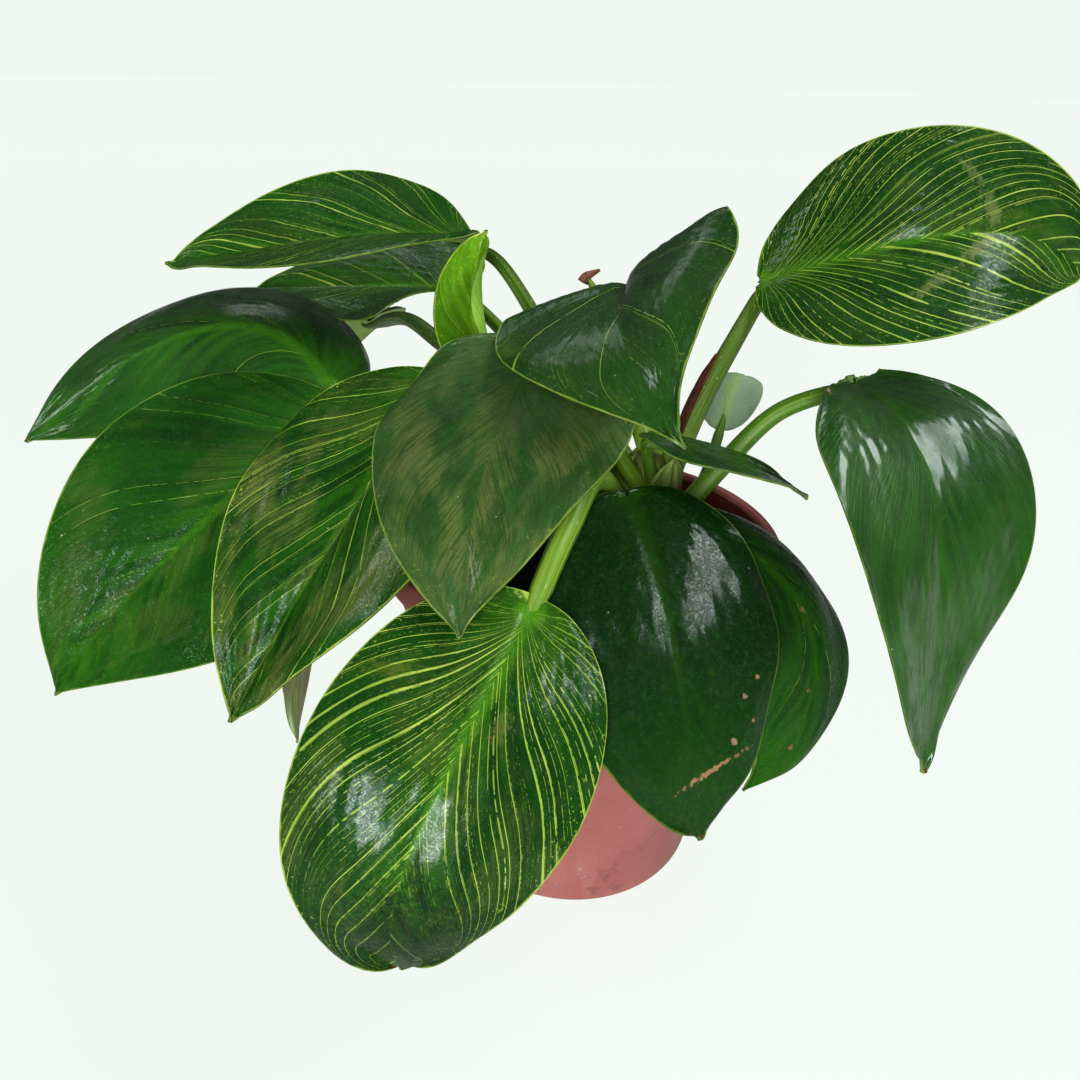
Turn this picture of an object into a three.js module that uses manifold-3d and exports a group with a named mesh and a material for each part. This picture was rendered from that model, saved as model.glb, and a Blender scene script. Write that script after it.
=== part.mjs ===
// Philodendron Birkin in a 12 cm nursery pot.
// Millimetres, +Z up. The origin is the middle of the pot's flat underside and -Y is the front.
import * as THREE from "three";
import { mergeVertices } from "three/addons/utils/BufferGeometryUtils.js";
import Module from "manifold-3d";

const wasm = await Module();
wasm.setup();

// ---- driving dimensions -------------------------------------------------------------------
const GAP = 0.3; // running gap between pieces that touch
const JOINT_GAP = 0.5; // between a stalk's end and the underside of its blade

const POT = {
  height: 115,
  rimRadius: 60, // outside, at the top edge
  baseRadius: 42, // outside, at the ground
  wall: 1.5,
  floor: 2,
  skirtDepth: 6, // the rolled rim hangs this far down
  skirtFlare: 1.6, // and stands out this much more at its lower edge
  skirtWall: 1.2,
  rimRound: 0.8,
  footBevel: 1.5,
  segments: 40,
};
const DRAIN = { count: 6, radius: 3.5, ring: 28, sides: 10 };
const SOIL = {
  top: 106, // where it meets the wall
  mound: 2, // the middle stands this much higher
  shoulder: 8, // width of the ring along the wall that rises to the shoulder's height
  shoulderRise: 0.6,
  segments: 32,
};
const CHIP = { radius: 2.4, length: 1.4, height: 0.55 }; // length and height are shares of the radius
const STEM = { x: 20, y: 6, radius: 7, top: 139, buried: 14, sides: 10 };

const BLADE = {
  thickness: 1,
  tipThickness: 0.3,
  rows: 9, // sections between the leaf base and its tip
  columns: 4, // quads from the midrib to a margin
  tipHalfWidth: 0.7,
  firstSection: 9, // degrees of the half turn that the section spacing skips at the base
  baseFullness: 0.52, // power that rounds the outline at the leaf base
  veinSweep: 1.55, // how far the lateral veins lean towards the tip
  veinCurve: 0.45,
  liftReach: 0.13, // share of the leaf length over which a basal lobe's own lift fades
  railSteps: 60,
};
const STALK = { footRadius: 3, topRadius: 2.2, sides: 8, steps: 9 };

// ---- leaves -------------------------------------------------------------------------------
// midrib: four Bezier points from the leaf base to the tip.
// face: where the upper side looks, as [azimuth, elevation] in degrees at the base and at the tip;
// azimuth 0 is the front (-Y) and 90 is +X.
// right and left (seen from above, base to tip) each have: fold, how steeply that half rises from the
// midrib at the base and at the tip; curl, how much it turns over its width; lift, an extra rise of the lobe.
// fullness: power that shapes the outline towards the tip; lobe: length behind the stalk's joint.
// stalk: the foot's azimuth on the stem (0 is +X, 90 the back) and height, and the points it passes.
const LEAVES = [
  {
    name: "back_left_high", width: 66, fullness: 1.05, lobe: 0.03,
    midrib: [[-40, 72, 188], [-71, 61, 194], [-106, 60, 185], [-143, 70, 178]],
    face: [[5, 80], [-15, 60]],
    right: { fold: [15, 20], curl: 0, lift: -10 }, left: { fold: [25, 25], curl: -20, lift: 5 },
    stalk: { foot: [105, 126], via: [[-8, 38, 158], [-28, 64, 181]] },
  },
  {
    name: "back_left_low", width: 64, fullness: 0.9, lobe: 0.03,
    midrib: [[-45, 84, 168], [-62, 102, 166], [-92, 107, 163], [-124, 103, 162]],
    face: [[5, 70], [-45, 60]],
    right: { fold: [10, 10], curl: -20, lift: 0 }, left: { fold: [20, 15], curl: -15, lift: 5 },
    stalk: { foot: [85, 110], via: [[-2, 38, 138], [-33, 70, 162]] },
  },
  {
    name: "back_hanging", width: 56, fullness: 0.9, lobe: 0.04,
    midrib: [[-82, 104, 152], [-99, 124, 149], [-112, 142, 133], [-120, 153, 108]],
    face: [[180, 90], [-150, 55]],
    right: { fold: [10, 10], curl: -20, lift: 0 }, left: { fold: [10, 10], curl: -20, lift: 0 },
    stalk: { foot: [130, 110], via: [[-10, 32, 138], [-44, 46, 157], [-63, 76, 159]] },
  },
  {
    name: "new_centre", width: 30, fullness: 0.95, lobe: 0.03,
    midrib: [[-32, 30, 156], [-36, 36, 172], [-37, 44, 184], [-32, 52, 194]],
    face: [[5, 5], [5, -5]],
    right: { fold: [25, 25], curl: 35, lift: 0 }, left: { fold: [20, 20], curl: 25, lift: 0 },
    stalk: { foot: [148, 127], via: [[-8, 20, 143], [-26, 27, 150]] },
  },
  {
    name: "left_upper", width: 72, fullness: 0.9, lobe: 0.03,
    midrib: [[-82, 34, 146], [-103, 59, 174], [-141, 52, 167], [-182, 28, 128]],
    face: [[30, 60], [-25, 40]],
    right: { fold: [-8, -18], curl: -50, lift: 0 }, left: { fold: [-15, 0], curl: -25, lift: 0 },
    stalk: { foot: [160, 119], via: [[-16, 24, 129], [-66, 34, 133]] },
  },
  {
    name: "left_lower", width: 90, fullness: 1.0, lobe: 0.03,
    midrib: [[-76, 19, 145], [-105, -3, 127], [-133, -20, 106], [-157, -31, 72]],
    face: [[-25, 65], [-5, 15]],
    right: { fold: [10, 20], curl: -10, lift: -5 }, left: { fold: [0, 0], curl: -20, lift: 0 },
    stalk: { foot: [190, 112], via: [[-20, 10, 126], [-52, 18, 138]] },
  },
  {
    name: "left_front", width: 80, fullness: 1.0, lobe: 0.03,
    midrib: [[-46, 9, 160], [-61, -20, 136], [-80, -40, 113], [-97, -51, 80]],
    face: [[-25, 55], [-20, 30]],
    right: { fold: [5, 25], curl: -30, lift: 0 }, left: { fold: [25, 40], curl: -25, lift: -30 },
    stalk: { foot: [188, 127], via: [[-8, 7, 144], [-32, 10, 157]] },
  },
  {
    name: "centre", width: 72, fullness: 1.0, lobe: 0.03,
    midrib: [[-15, 10, 170], [-26, -21, 155], [-33, -50, 144], [-31, -72, 124]],
    face: [[-10, 60], [-10, 35]],
    right: { fold: [5, 10], curl: -35, lift: 5 }, left: { fold: [15, 15], curl: -15, lift: 0 },
    stalk: { foot: [228, 128], via: [[4, 0, 148], [-8, 8, 163]] },
  },
  {
    name: "top_curled", width: 74, fullness: 1.4, lobe: 0.06,
    midrib: [[11, 23, 185], [3, -7, 185], [5, -36, 180], [20, -51, 164]],
    face: [[-135, 45], [-10, 20]],
    right: { fold: [20, 0], curl: -10, lift: 50 }, left: { fold: [20, 5], curl: -30, lift: 10 },
    stalk: { foot: [62, 127], via: [[24, 24, 150], [18, 30, 172]] },
  },
  {
    name: "right_high", width: 63, fullness: 0.85, lobe: 0.03,
    midrib: [[53, 37, 183], [86, 14, 201], [118, 14, 212], [145, 27, 189]],
    face: [[-10, 50], [5, 20]],
    right: { fold: [10, 15], curl: -10, lift: 0 }, left: { fold: [15, 20], curl: -15, lift: -5 },
    stalk: { foot: [22, 127], via: [[34, 18, 148], [44, 26, 166]] },
  },
  {
    name: "right_hanging", width: 71, fullness: 1.0, lobe: 0.03,
    midrib: [[77, 11, 161], [102, -24, 155], [90, -44, 123], [96, -52, 68]],
    face: [[25, 90], [40, 5]],
    right: { fold: [10, 10], curl: -15, lift: 0 }, left: { fold: [10, 5], curl: -5, lift: -5 },
    stalk: { foot: [0, 110], via: [[40, 8, 131], [57, 11, 150]] },
  },
  {
    name: "front", width: 68, fullness: 0.7, lobe: 0.05,
    midrib: [[-15, -59, 123], [-33, -99, 104], [-50, -115, 80], [-45, -100, 45]],
    face: [[5, 55], [-5, -5]],
    right: { fold: [5, 5], curl: -20, lift: 0 }, left: { fold: [5, 5], curl: -35, lift: 0 },
    stalk: { foot: [232, 110], via: [[3, -15, 139.5], [-6, -41, 137]] },
  },
  {
    name: "front_right", width: 65, fullness: 0.8, lobe: 0.04,
    midrib: [[11, -21, 137], [19, -54, 127], [24, -75, 105], [29, -79, 69]],
    face: [[5, 50], [20, 10]],
    right: { fold: [5, 5], curl: -20, lift: 0 }, left: { fold: [5, 5], curl: -35, lift: 5 },
    stalk: { foot: [272, 110], via: [[18, -12, 124]] },
  },
  {
    name: "right_low", width: 47, fullness: 0.9, lobe: 0.03,
    midrib: [[30, -23, 129], [68, -30, 118], [76, -45, 86], [46, -53, 61]],
    face: [[50, 55], [30, 15]],
    right: { fold: [10, 5], curl: -15, lift: 0 }, left: { fold: [0, 0], curl: -45, lift: 0 },
    stalk: { foot: [315, 111], via: [] },
  },
  {
    name: "right_thin", width: 34, fullness: 0.9, lobe: 0.03,
    midrib: [[18, 0, 147], [35, -12, 146], [51, -15, 144], [63, -12, 133]],
    face: [[155, 75], [130, 75]],
    right: { fold: [5, 5], curl: -15, lift: 0 }, left: { fold: [5, 10], curl: -15, lift: 0 },
    stalk: { foot: [290, 127], via: [] },
  },
  {
    name: "back_small", width: 21, fullness: 0.9, lobe: 0.04,
    midrib: [[46, 36, 128], [48, 42, 139], [50, 49, 147], [54, 57, 151]],
    face: [[165, -20], [155, -40]],
    right: { fold: [5, 5], curl: -10, lift: 0 }, left: { fold: [5, 5], curl: -10, lift: 0 },
    stalk: { foot: [45, 110], via: [[39, 27, 117]] },
  },
  {
    name: "left_behind", width: 24, fullness: 0.9, lobe: 0.04,
    midrib: [[-74, 4, 108], [-86, 0, 101], [-88, -18, 79], [-85, -35, 59]],
    face: [[-115, 20], [-110, 10]],
    right: { fold: [10, 10], curl: -10, lift: 0 }, left: { fold: [10, 10], curl: -10, lift: 0 },
    stalk: { foot: [212, 119], via: [[-22, -4, 128], [-60, 1, 123]] },
  },
];

// The unopened leaf's spear, still in its dried bud scale.
const SPEAR = { foot: [19, 8, 141], via: [10, 24, 162], tip: [0, 36, 185], footRadius: 3, tipRadius: 0.9 };
// A dried scale that still clasps the stalk of the high right leaf.
const SCALE = {
  leaf: "right_high",
  from: 0.28, // shares of the stalk's length
  to: 0.62,
  turn: 200, // degrees round the stalk
  spread: 130, // degrees of the stalk that its foot wraps
  narrowing: 0.75, // share of that spread that is gone at its tip
  clearance: 0.4,
  thickness: 0.8,
  facets: 5,
  steps: 5,
};
// Bark chips on the soil: [x, y, turn in degrees, size against the usual chip].
const CHIPS = [
  [46, 20, 20, 1.2],
  [44, -10, 75, 1],
  [-30, -22, 130, 1.1],
  [-38, 12, 200, 0.9],
  [2, -40, 260, 1],
];

const COLOURS = {
  blade: 0x1f5a24,
  newBlade: 0x86b92c,
  stalk: 0x7f9a3a,
  stem: 0x6f7d3a,
  scale: 0x7a4a2c,
  pot: 0xb06e64,
  soil: 0x2c211b,
  chip: 0x6b4428,
};

// ---- helpers ------------------------------------------------------------------------------
const radians = THREE.MathUtils.degToRad;
const vector = (point) => new THREE.Vector3(...point);

function mesh(name, geometry, colour, roughness) {
  const finish = new THREE.MeshStandardMaterial({ color: colour, roughness, metalness: 0 });
  const made = new THREE.Mesh(geometry, finish);
  made.name = name;
  return made;
}

// Closes a row of rings into one solid. A ring's points go out along one side and come back along the
// other, so each end is closed by the strip between them.
function loft(rings) {
  const ringSize = rings[0].length;
  const positions = rings.flat().flatMap((p) => [p.x, p.y, p.z]);
  const index = [];
  const quad = (a, b, c, d) => index.push(a, b, c, a, c, d);
  for (let row = 0; row + 1 < rings.length; row++) {
    for (let i = 0; i < ringSize; i++) {
      const next = (i + 1) % ringSize;
      const low = row * ringSize;
      quad(low + i, low + next, low + ringSize + next, low + ringSize + i);
    }
  }
  const last = (rings.length - 1) * ringSize;
  for (let i = 0; i + 1 < ringSize / 2; i++) {
    const back = ringSize - 1 - i;
    quad(back, back - 1, i + 1, i);
    quad(last + i, last + i + 1, last + back - 1, last + back);
  }
  const geometry = new THREE.BufferGeometry();
  geometry.setAttribute("position", new THREE.Float32BufferAttribute(positions, 3));
  geometry.setIndex(index);
  return facingOut(geometry);
}

// Turns a closed geometry's faces round where they point inwards.
function facingOut(geometry) {
  const at = geometry.attributes.position;
  const index = geometry.index.array;
  const [a, b, c] = [new THREE.Vector3(), new THREE.Vector3(), new THREE.Vector3()];
  let volume = 0;
  for (let i = 0; i < index.length; i += 3) {
    a.fromBufferAttribute(at, index[i]);
    b.fromBufferAttribute(at, index[i + 1]);
    c.fromBufferAttribute(at, index[i + 2]);
    volume += a.dot(b.cross(c));
  }
  if (volume < 0) {
    for (let i = 0; i < index.length; i += 3) {
      [index[i + 1], index[i + 2]] = [index[i + 2], index[i + 1]];
    }
  }
  return geometry;
}

function toManifold(geometry) {
  const bare = geometry.clone();
  bare.deleteAttribute("normal");
  bare.deleteAttribute("uv");
  const merged = mergeVertices(bare, 1e-3);
  return new wasm.Manifold(
    new wasm.Mesh({
      numProp: 3,
      vertProperties: merged.attributes.position.array,
      triVerts: new Uint32Array(merged.index.array),
    }),
  );
}

function fromManifold(solid) {
  const made = solid.getMesh();
  const geometry = new THREE.BufferGeometry();
  geometry.setAttribute("position", new THREE.BufferAttribute(new Float32Array(made.vertProperties), 3));
  geometry.setIndex(new THREE.BufferAttribute(new Uint32Array(made.triVerts), 1));
  return geometry;
}

function upright(radius, height, sides, x, y, bottom) {
  const drum = new THREE.CylinderGeometry(radius, radius, height, sides);
  return drum.rotateX(Math.PI / 2).translate(x, y, bottom + height / 2);
}

// Lathe profiles are [radius, height] pairs, turned about +Z.
function turned(profile, segments) {
  const points = profile.map(([r, z]) => new THREE.Vector2(r, z));
  return mergeVertices(new THREE.LatheGeometry(points, segments).rotateX(Math.PI / 2), 1e-3);
}

// ---- pot and soil -------------------------------------------------------------------------
// Outside radius of the tapered wall at a height.
function wallRadius(z) {
  const skirtTop = POT.rimRadius - POT.skirtFlare;
  return POT.baseRadius + ((skirtTop - POT.baseRadius) * z) / POT.height;
}

function nurseryPot() {
  const rimZ = POT.height;
  const skirtZ = rimZ - POT.skirtDepth;
  const skirtOut = POT.rimRadius + POT.skirtFlare;
  const underRim = rimZ - POT.wall;
  const profile = [
    [0, 0],
    [POT.baseRadius - POT.footBevel, 0],
    [POT.baseRadius, POT.footBevel],
    [wallRadius(underRim - 1), underRim - 1],
    [POT.rimRadius - POT.skirtWall, underRim],
    [skirtOut - POT.skirtWall, skirtZ],
    [skirtOut, skirtZ],
    [POT.rimRadius, rimZ - POT.rimRound],
    [POT.rimRadius - POT.rimRound, rimZ],
    [wallRadius(rimZ) - POT.wall, rimZ - POT.rimRound / 2],
    [wallRadius(POT.floor) - POT.wall, POT.floor],
    [0, POT.floor],
  ];
  let shell = toManifold(facingOut(turned(profile, POT.segments)));
  for (let i = 0; i < DRAIN.count; i++) {
    const turn = (2 * Math.PI * (i + 0.5)) / DRAIN.count;
    const hole = upright(
      DRAIN.radius,
      POT.floor + 2,
      DRAIN.sides,
      DRAIN.ring * Math.cos(turn),
      DRAIN.ring * Math.sin(turn),
      -1,
    );
    shell = shell.subtract(toManifold(hole));
  }
  return fromManifold(shell);
}

function soilRadius(z) {
  return wallRadius(z) - POT.wall - GAP * 1.5;
}

function pottingSoil() {
  const bottom = POT.floor + GAP;
  const profile = [
    [0, bottom],
    [soilRadius(bottom), bottom],
    [soilRadius(SOIL.top - 1), SOIL.top - 1],
    [soilRadius(SOIL.top) - SOIL.shoulder, SOIL.top + SOIL.shoulderRise],
    [0, SOIL.top + SOIL.mound],
  ];
  const body = toManifold(facingOut(turned(profile, SOIL.segments)));
  const bottomOfSocket = SOIL.top - STEM.buried - GAP;
  const depth = SOIL.top + SOIL.mound + 1 - bottomOfSocket;
  const socket = upright(STEM.radius + GAP, depth, STEM.sides * 2, STEM.x, STEM.y, bottomOfSocket);
  return fromManifold(body.subtract(toManifold(socket)));
}

// Height of the soil's surface at a point.
function soilHeight(x, y) {
  const edge = soilRadius(SOIL.top) - SOIL.shoulder;
  const share = Math.min(Math.hypot(x, y) / edge, 1);
  return SOIL.top + SOIL.mound - (SOIL.mound - SOIL.shoulderRise) * share;
}

function barkChip([x, y, turn, size]) {
  const radius = CHIP.radius * size;
  const chip = new THREE.IcosahedronGeometry(radius, 0);
  chip.scale(CHIP.length, 1, CHIP.height).rotateZ(radians(turn));
  return chip.translate(x, y, soilHeight(x, y) + GAP + radius * CHIP.height);
}

// ---- stem, stalks and scales --------------------------------------------------------------
function stem() {
  const bottom = SOIL.top - STEM.buried;
  const profile = [
    [0, bottom],
    [STEM.radius * 0.9, bottom],
    [STEM.radius, bottom + 3],
    [STEM.radius, STEM.top - 12],
    [STEM.radius * 0.75, STEM.top - 4],
    [STEM.radius * 0.45, STEM.top],
    [0, STEM.top],
  ];
  return facingOut(turned(profile, STEM.sides)).translate(STEM.x, STEM.y, 0);
}

// A tapering round bar along a curve. radiusAt gives the radius at a share of the length.
function bar(curve, radiusAt, sides, steps) {
  const frames = curve.computeFrenetFrames(steps, false);
  const rings = [];
  for (let i = 0; i <= steps; i++) {
    const centre = curve.getPointAt(i / steps);
    const radius = radiusAt(i / steps);
    const ring = [];
    for (let k = 0; k < sides; k++) {
      const turn = (2 * Math.PI * (k + 0.5)) / sides;
      const across = frames.normals[i].clone().multiplyScalar(radius * Math.cos(turn));
      const over = frames.binormals[i].clone().multiplyScalar(radius * Math.sin(turn));
      ring.push(centre.clone().add(across).add(over));
    }
    rings.push(ring);
  }
  return loft(rings);
}

// How far a round end stands off a face with this normal, when it meets the face in this direction.
function standOff(direction, normal, radius) {
  return radius * Math.sqrt(Math.max(0, 1 - direction.dot(normal) ** 2));
}

function stalkScale(leaf) {
  return leaf.width < 45 ? 0.7 : 1;
}

// The stalk runs from the stem's side to just under the blade's joint.
function stalkCurve(leaf) {
  const [azimuth, height] = leaf.stalk.foot;
  const via = leaf.stalk.via.map(vector);
  const joint = vector(leaf.midrib[0]);
  const out = new THREE.Vector3(Math.cos(radians(azimuth)), Math.sin(radians(azimuth)), 0);
  const start = new THREE.Vector3(STEM.x, STEM.y, height).addScaledVector(out, STEM.radius);
  const leaving = (via[0] ?? joint).clone().sub(start).normalize();
  start.addScaledVector(out, GAP + standOff(leaving, out, STALK.footRadius * stalkScale(leaf)));
  const arriving = joint.clone().sub(via[via.length - 1] ?? start).normalize();
  const up = bladeFrame(leaf, 0).up;
  const drop = BLADE.thickness / 2 + JOINT_GAP + standOff(arriving, up, STALK.topRadius * stalkScale(leaf));
  const end = joint.addScaledVector(up, -drop);
  return new THREE.CatmullRomCurve3([start, ...via, end], false, "catmullrom", 0.5);
}

function stalkRadius(leaf, share) {
  const radius = THREE.MathUtils.lerp(STALK.topRadius, STALK.footRadius, (1 - share) ** 1.5);
  return radius * stalkScale(leaf);
}

function stalk(leaf) {
  return bar(stalkCurve(leaf), (share) => stalkRadius(leaf, share), STALK.sides, STALK.steps);
}

// ---- blades -------------------------------------------------------------------------------
function faceVector([azimuth, elevation]) {
  const [a, e] = [radians(azimuth), radians(elevation)];
  return new THREE.Vector3(Math.sin(a) * Math.cos(e), -Math.cos(a) * Math.cos(e), Math.sin(e));
}

// The midrib's point and directions at a distance from the joint; a distance below 0 runs straight back.
function bladeFrame(leaf, distance) {
  const rail = new THREE.CubicBezierCurve3(...leaf.midrib.map(vector));
  rail.arcLengthDivisions = BLADE.railSteps;
  const length = rail.getLength();
  const share = THREE.MathUtils.clamp(distance / length, 0, 1);
  const along = rail.getTangentAt(share);
  const face = faceVector(leaf.face[0]).multiplyScalar(1 - share);
  face.addScaledVector(faceVector(leaf.face[1]), share);
  const up = face.addScaledVector(along, -face.dot(along)).normalize();
  const point = rail.getPointAt(share).addScaledVector(along, Math.min(distance, 0));
  return { point, up, side: new THREE.Vector3().crossVectors(along, up), length };
}

// A point of one half: s runs from base to tip and t from the midrib to the margin.
function bladePoint(leaf, half, sign, s, t) {
  const { baseFullness, firstSection } = BLADE;
  const length = bladeFrame(leaf, 0).length;
  const first = radians(firstSection);
  const spread = (phi) => (1 - Math.cos(phi)) / 2;
  const a = spread(first + (Math.PI - first) * s);
  const aFirst = spread(first);
  const sum = baseFullness + leaf.fullness;
  const peak = (baseFullness / sum) ** baseFullness * (leaf.fullness / sum) ** leaf.fullness;
  const outline = (a ** baseFullness * (1 - a) ** leaf.fullness) / peak;
  const margin = Math.max((leaf.width / 2) * outline, BLADE.tipHalfWidth);
  const marginAlong = length * (a * (1 + leaf.lobe) - leaf.lobe);
  const veinStart = length * ((a - aFirst) / (1 - aFirst)) ** BLADE.veinSweep;
  const bend = t + (BLADE.veinCurve * Math.sin(2 * Math.PI * t)) / (2 * Math.PI);
  const x = veinStart + (marginAlong - veinStart) * bend;
  const y = margin * t;
  const { point, up, side } = bladeFrame(leaf, x);
  const share = THREE.MathUtils.clamp(x / length, 0, 1);
  const fade = Math.exp(-Math.max(x / length + 0.08, 0) / BLADE.liftReach);
  const fold = radians(THREE.MathUtils.lerp(half.fold[0], half.fold[1], share) + half.lift * fade);
  const bendRate = radians(half.curl || 0.1) / (leaf.width / 2);
  const end = fold + bendRate * y;
  const across = (Math.sin(end) - Math.sin(fold)) / bendRate;
  const rise = (Math.cos(fold) - Math.cos(end)) / bendRate;
  return point.addScaledVector(side, sign * across).addScaledVector(up, rise);
}

function blade(leaf) {
  const { rows, columns } = BLADE;
  const wide = 2 * columns + 1;
  const points = [];
  for (let row = 0; row <= rows; row++) {
    for (let k = -columns; k <= columns; k++) {
      const [half, sign] = k < 0 ? [leaf.left, -1] : [leaf.right, 1];
      points.push(bladePoint(leaf, half, sign, row / rows, Math.abs(k) / columns));
    }
  }
  const index = [];
  for (let row = 0; row < rows; row++) {
    for (let k = 0; k + 1 < wide; k++) {
      const a = row * wide + k;
      index.push(a, a + 1, a + wide + 1, a, a + wide + 1, a + wide);
    }
  }
  const middle = new THREE.BufferGeometry().setFromPoints(points).setIndex(index);
  middle.computeVertexNormals();
  const rings = [];
  for (let row = 0; row <= rows; row++) {
    const half = (row < rows ? BLADE.thickness : BLADE.tipThickness) / 2;
    const top = [];
    const under = [];
    for (let k = 0; k < wide; k++) {
      const normal = new THREE.Vector3().fromBufferAttribute(middle.attributes.normal, row * wide + k);
      const point = points[row * wide + k];
      top.push(point.clone().addScaledVector(normal, half));
      under.unshift(point.clone().addScaledVector(normal, -half));
    }
    rings.push([...top, ...under]);
  }
  return loft(rings);
}

// ---- the dried scale and the spear --------------------------------------------------------
function driedScale() {
  const leaf = LEAVES.find((each) => each.name === SCALE.leaf);
  const curve = stalkCurve(leaf);
  const frames = curve.computeFrenetFrames(SCALE.steps, false);
  const rings = [];
  for (let i = 0; i <= SCALE.steps; i++) {
    const share = THREE.MathUtils.lerp(SCALE.from, SCALE.to, i / SCALE.steps);
    const centre = curve.getPointAt(share);
    const along = curve.getTangentAt(share);
    const inner = stalkRadius(leaf, share) + SCALE.clearance;
    const halfSpread = (SCALE.spread / 2) * (1 - SCALE.narrowing * (i / SCALE.steps) ** 2);
    const near = [];
    const far = [];
    for (let k = 0; k <= SCALE.facets; k++) {
      const turn = radians(SCALE.turn + halfSpread * ((2 * k) / SCALE.facets - 1));
      const out = frames.normals[0].clone().applyAxisAngle(frames.tangents[0], turn);
      out.addScaledVector(along, -out.dot(along)).normalize();
      near.push(centre.clone().addScaledVector(out, inner));
      far.unshift(centre.clone().addScaledVector(out, inner + SCALE.thickness));
    }
    rings.push([...near, ...far]);
  }
  return loft(rings);
}

function spear() {
  const points = [SPEAR.foot, SPEAR.via, SPEAR.tip].map(vector);
  const curve = new THREE.CatmullRomCurve3(points, false, "catmullrom", 0.5);
  const radiusAt = (s) => THREE.MathUtils.lerp(SPEAR.footRadius, SPEAR.tipRadius, s ** 1.6);
  return bar(curve, radiusAt, STALK.sides, STALK.steps);
}

// ---- assembly -----------------------------------------------------------------------------
const plant = new THREE.Group();
plant.add(mesh("nursery_pot", nurseryPot(), COLOURS.pot, 0.5));
plant.add(mesh("potting_soil", pottingSoil(), COLOURS.soil, 1));
CHIPS.forEach((chip, i) => {
  plant.add(mesh(`bark_chip_${i + 1}`, barkChip(chip), COLOURS.chip, 0.9));
});
plant.add(mesh("stem", stem(), COLOURS.stem, 0.6));
for (const leaf of LEAVES) {
  const colour = leaf.name === "new_centre" ? COLOURS.newBlade : COLOURS.blade;
  plant.add(mesh(`blade_${leaf.name}`, blade(leaf), colour, 0.3));
  plant.add(mesh(`stalk_${leaf.name}`, stalk(leaf), COLOURS.stalk, 0.45));
}
plant.add(mesh("dried_scale", driedScale(), COLOURS.scale, 0.8));
plant.add(mesh("leaf_spear", spear(), COLOURS.scale, 0.7));

export default plant;
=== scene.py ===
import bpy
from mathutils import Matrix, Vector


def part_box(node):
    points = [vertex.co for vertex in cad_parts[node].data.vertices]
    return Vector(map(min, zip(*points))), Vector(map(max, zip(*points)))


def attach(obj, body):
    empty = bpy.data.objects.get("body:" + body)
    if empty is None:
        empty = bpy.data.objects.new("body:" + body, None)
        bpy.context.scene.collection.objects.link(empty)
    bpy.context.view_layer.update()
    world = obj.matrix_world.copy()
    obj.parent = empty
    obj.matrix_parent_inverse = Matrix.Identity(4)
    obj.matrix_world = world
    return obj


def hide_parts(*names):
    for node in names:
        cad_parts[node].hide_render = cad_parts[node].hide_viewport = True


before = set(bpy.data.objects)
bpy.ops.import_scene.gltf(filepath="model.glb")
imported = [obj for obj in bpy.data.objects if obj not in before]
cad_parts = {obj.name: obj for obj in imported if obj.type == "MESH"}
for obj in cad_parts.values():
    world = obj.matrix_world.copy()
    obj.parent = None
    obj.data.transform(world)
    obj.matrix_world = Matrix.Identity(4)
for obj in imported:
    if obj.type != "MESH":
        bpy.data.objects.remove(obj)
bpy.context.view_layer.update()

import math

import bpy
import numpy as np
from bpy.props import FloatProperty, FloatVectorProperty, IntProperty, PointerProperty
from mathutils import Matrix, Vector

bl_info = {
    "name": "Philodendron birkin in its nursery pot",
    "version": (1, 0, 0),
    "blender": (4, 5, 0),
    "location": "3D View > Sidebar > Birkin",
    "description": "Builds a potted philodendron birkin, piece by piece, and the stage it stands on",
    "category": "Object",
}

MM = 0.001

# Where things stand, in millimetres: the same layout as the solid model.
POT_TOP = 115
WALL_TOP_RADIUS = 58.4
BASE_RADIUS = 42
WALL = 1.5
FLOOR = 2
SOIL_TOP = 106
STEM_PLACE = (20, 6)
STEM_RADIUS = 7
STEM_TOP = 139
DRAIN_RING = 28
DRAIN_RADIUS = 3.5
DRAIN_COUNT = 6

# The outline and the veins of every blade follow one rule, with these shape numbers: where the first row of
# the outline starts, how full the base is, how the rows arch, how far a lobe's lift reaches, and how the
# lateral veins crowd and reach forward, for a leaf with sweep 0 and sweep 1. Near the joint FAN packs more
# veins together.
FIRST_SECTION = math.radians(9)
BASE_FULLNESS = 0.52
VEIN_SWEEP = 1.55
VEIN_CURVE = 0.45
LIFT_REACH = 0.13
VEIN_CROWDING = (1.5, 2.8)
VEIN_REACH = (1.6, 3.0)
FAN = 0.22
FAN_REACH = 0.1

# A blade this wide gets all its rows and columns, and one this wide has the full relief, in millimetres.
FINE_WIDTH = 60
RELIEF_WIDTH = 70

# width, fullness, lobe: widest place in millimetres, how full the front half is, how far the lobes pass the
# joint.
# midrib: four Bezier points from the leaf base to the tip, in millimetres.
# face: where the upper side looks, as (azimuth, elevation) in degrees at the base and at the tip.
# right and left: (fold at the base, fold at the tip, curl over the half's width, extra lift of the lobe).
# rolled: base lobes that are turned back, as (side, share of the margin that rolls, degrees).
# foot and via: the stalk's foot on the stem (azimuth, height), then the points that the stalk passes.
# sweep: how strongly the veins arch towards the tip.
# drop: how far under the blade its stalk ends, in millimetres.
# look: lines and dashes (share of the veins that are drawn), streaks, blotches (olive patches), glow (bright
# green along the midrib), tone (0 dark, 1 light), grey (a grey film, partly a dull bloom and partly a painted
# sheen of reflected light), margin (strength of the pale edge), weight (breadth of the lines), gloss (the wax
# coat), wrinkles (fine creases) and dark (a deep green of the leaf's own). A leaf's look holds only what
# differs from USUAL_LOOK.
USUAL_LOOK = dict(
    lines=0.0, dashes=0.0, streaks=0.0, blotches=0.1, glow=0.4, tone=0.4, grey=0.05, margin=0.7, weight=0.65,
    gloss=0.33, wrinkles=1.0,
)
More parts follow.
